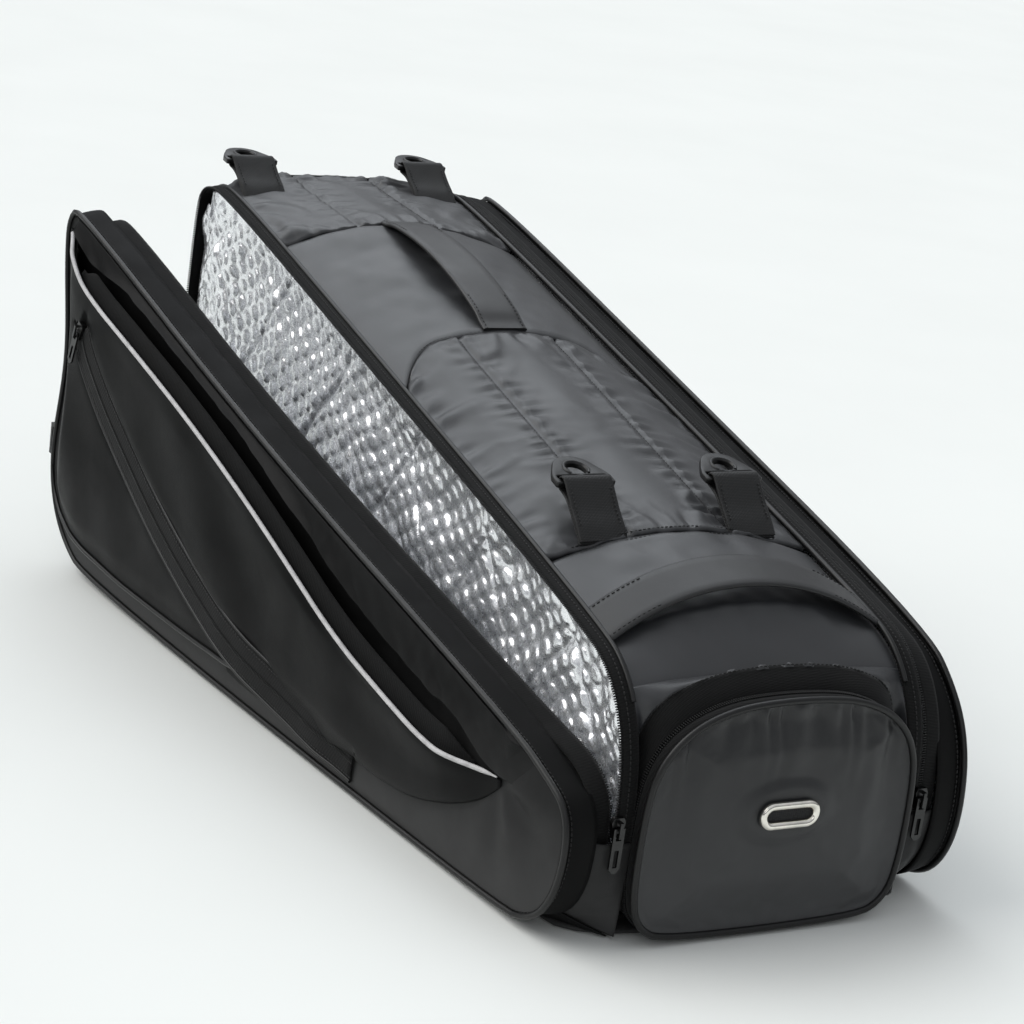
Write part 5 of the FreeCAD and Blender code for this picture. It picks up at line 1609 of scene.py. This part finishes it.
def make_stage():
    """The pale floor and the world's soft light."""
    look = Look("pale_floor", Specular_IOR_Level=0.1)
    paper = look.noise(3.0, 3.0, 0.5)
    look.colour(paper, (0.3, (0.80, 0.815, 0.79)), (0.7, (0.82, 0.835, 0.81)))
    look.rough(paper, 0.85, 0.95)
    size = 30000.0
    line = np.linspace(-size, size, 9)
    points = np.dstack([*np.meshgrid(line, line), np.full((9, 9), -0.2)])
    floor = mesh("floor", points.reshape(-1, 3), quads(9, 9), look.material)
    world = bpy.data.worlds.new("studio")
    bpy.context.scene.world = world
    world.use_nodes = True
    tree = world.node_tree
    back = tree.nodes["Background"]
    coords = tree.nodes.new("ShaderNodeTexCoord")
    split = tree.nodes.new("ShaderNodeSeparateXYZ")
    ramp = tree.nodes.new("ShaderNodeValToRGB")
    tree.links.new(coords.outputs["Generated"], split.inputs[0])
    tree.links.new(split.outputs[2], ramp.inputs["Fac"])
    tree.links.new(ramp.outputs["Color"], back.inputs["Color"])
    ramp.color_ramp.elements[0].position = 0.08
    ramp.color_ramp.elements[0].color = (0.33, 0.34, 0.36, 1)
    ramp.color_ramp.elements[1].position = 0.8
    ramp.color_ramp.elements[1].color = (0.93, 0.96, 1.0, 1)
    back.inputs["Strength"].default_value = 0.7


def area_light(name, place, target, size, power):
    """A soft panel aimed at a target."""
    data = bpy.data.lights.new(name, "AREA")
    data.shape = "RECTANGLE"
    data.size, data.size_y = size
    data.energy = power
    obj = link(name, data)
    obj.location = place
    obj.rotation_euler = (Vector(target) - Vector(place)).to_track_quat("-Z", "Y").to_euler()


def sun_light(name, toward, strength, angle, colour):
    """A wide soft sun shining toward a direction."""
    data = bpy.data.lights.new(name, "SUN")
    data.energy = strength
    data.angle = math.radians(angle)
    data.color = colour
    obj = link(name, data)
    obj.rotation_euler = Vector(toward).to_track_quat("-Z", "Y").to_euler()


def make_lights():
    sun_light("key_soft", (0.45, 0.75, -0.8), 1.75, 50, (1, 0.99, 0.97))
    sun_light("sheen_soft", (0.62, -0.2, -0.75), 0.85, 46, (0.9, 0.95, 1))
    area_light("front_fill", (3.4, -1.6, 1.6), (0.2, 0, 0.1), (2.0, 1.6), 8)


def make_camera():
    """The camera at the photo's viewing angle."""
    azimuth, elevation, roll = (math.radians(angle) for angle in CAMERA_ANGLES)
    back = Vector((math.sin(azimuth) * math.cos(elevation), -math.cos(azimuth) * math.cos(elevation),
                   math.sin(elevation)))
    right = Vector((math.cos(azimuth), math.sin(azimuth), 0))
    up = back.cross(right)
    turned_right = right * math.cos(roll) + up * math.sin(roll)
    turned_up = up * math.cos(roll) - right * math.sin(roll)
    data = bpy.data.cameras.new("camera")
    data.lens = FOCAL_MM
    data.sensor_width = 36.0
    data.clip_end = 100.0
    camera = link("camera", data)
    axes = Matrix((turned_right, turned_up, back)).transposed()
    camera.matrix_world = Matrix.Translation(CAMERA_PLACE) @ axes.to_4x4()
    bpy.context.scene.camera = camera


make_camera()
make_stage()
make_lights()
make_roof()
make_far_end()
make_bottom()
make_zips()
foil_wall(-1, "left", 1.3)
foil_wall(1, "right", 3.2)
foil_floor(-1, "left", 2.2)
foil_floor(1, "right", 3.2)
make_cover(-1, "left", "left_cover", SAG, to_cover)
make_cover(1, "right", "right_cover", 0.0, as_drawn)
make_gussets(-1, "left", SAG, to_cover)
make_gussets(1, "right", 0.0, as_drawn)
make_pocket()
make_shoe_door()
make_hooks()
make_handles()
make_hardware()
declare_sheets()
bpy.context.scene.view_settings.view_transform = "Standard"
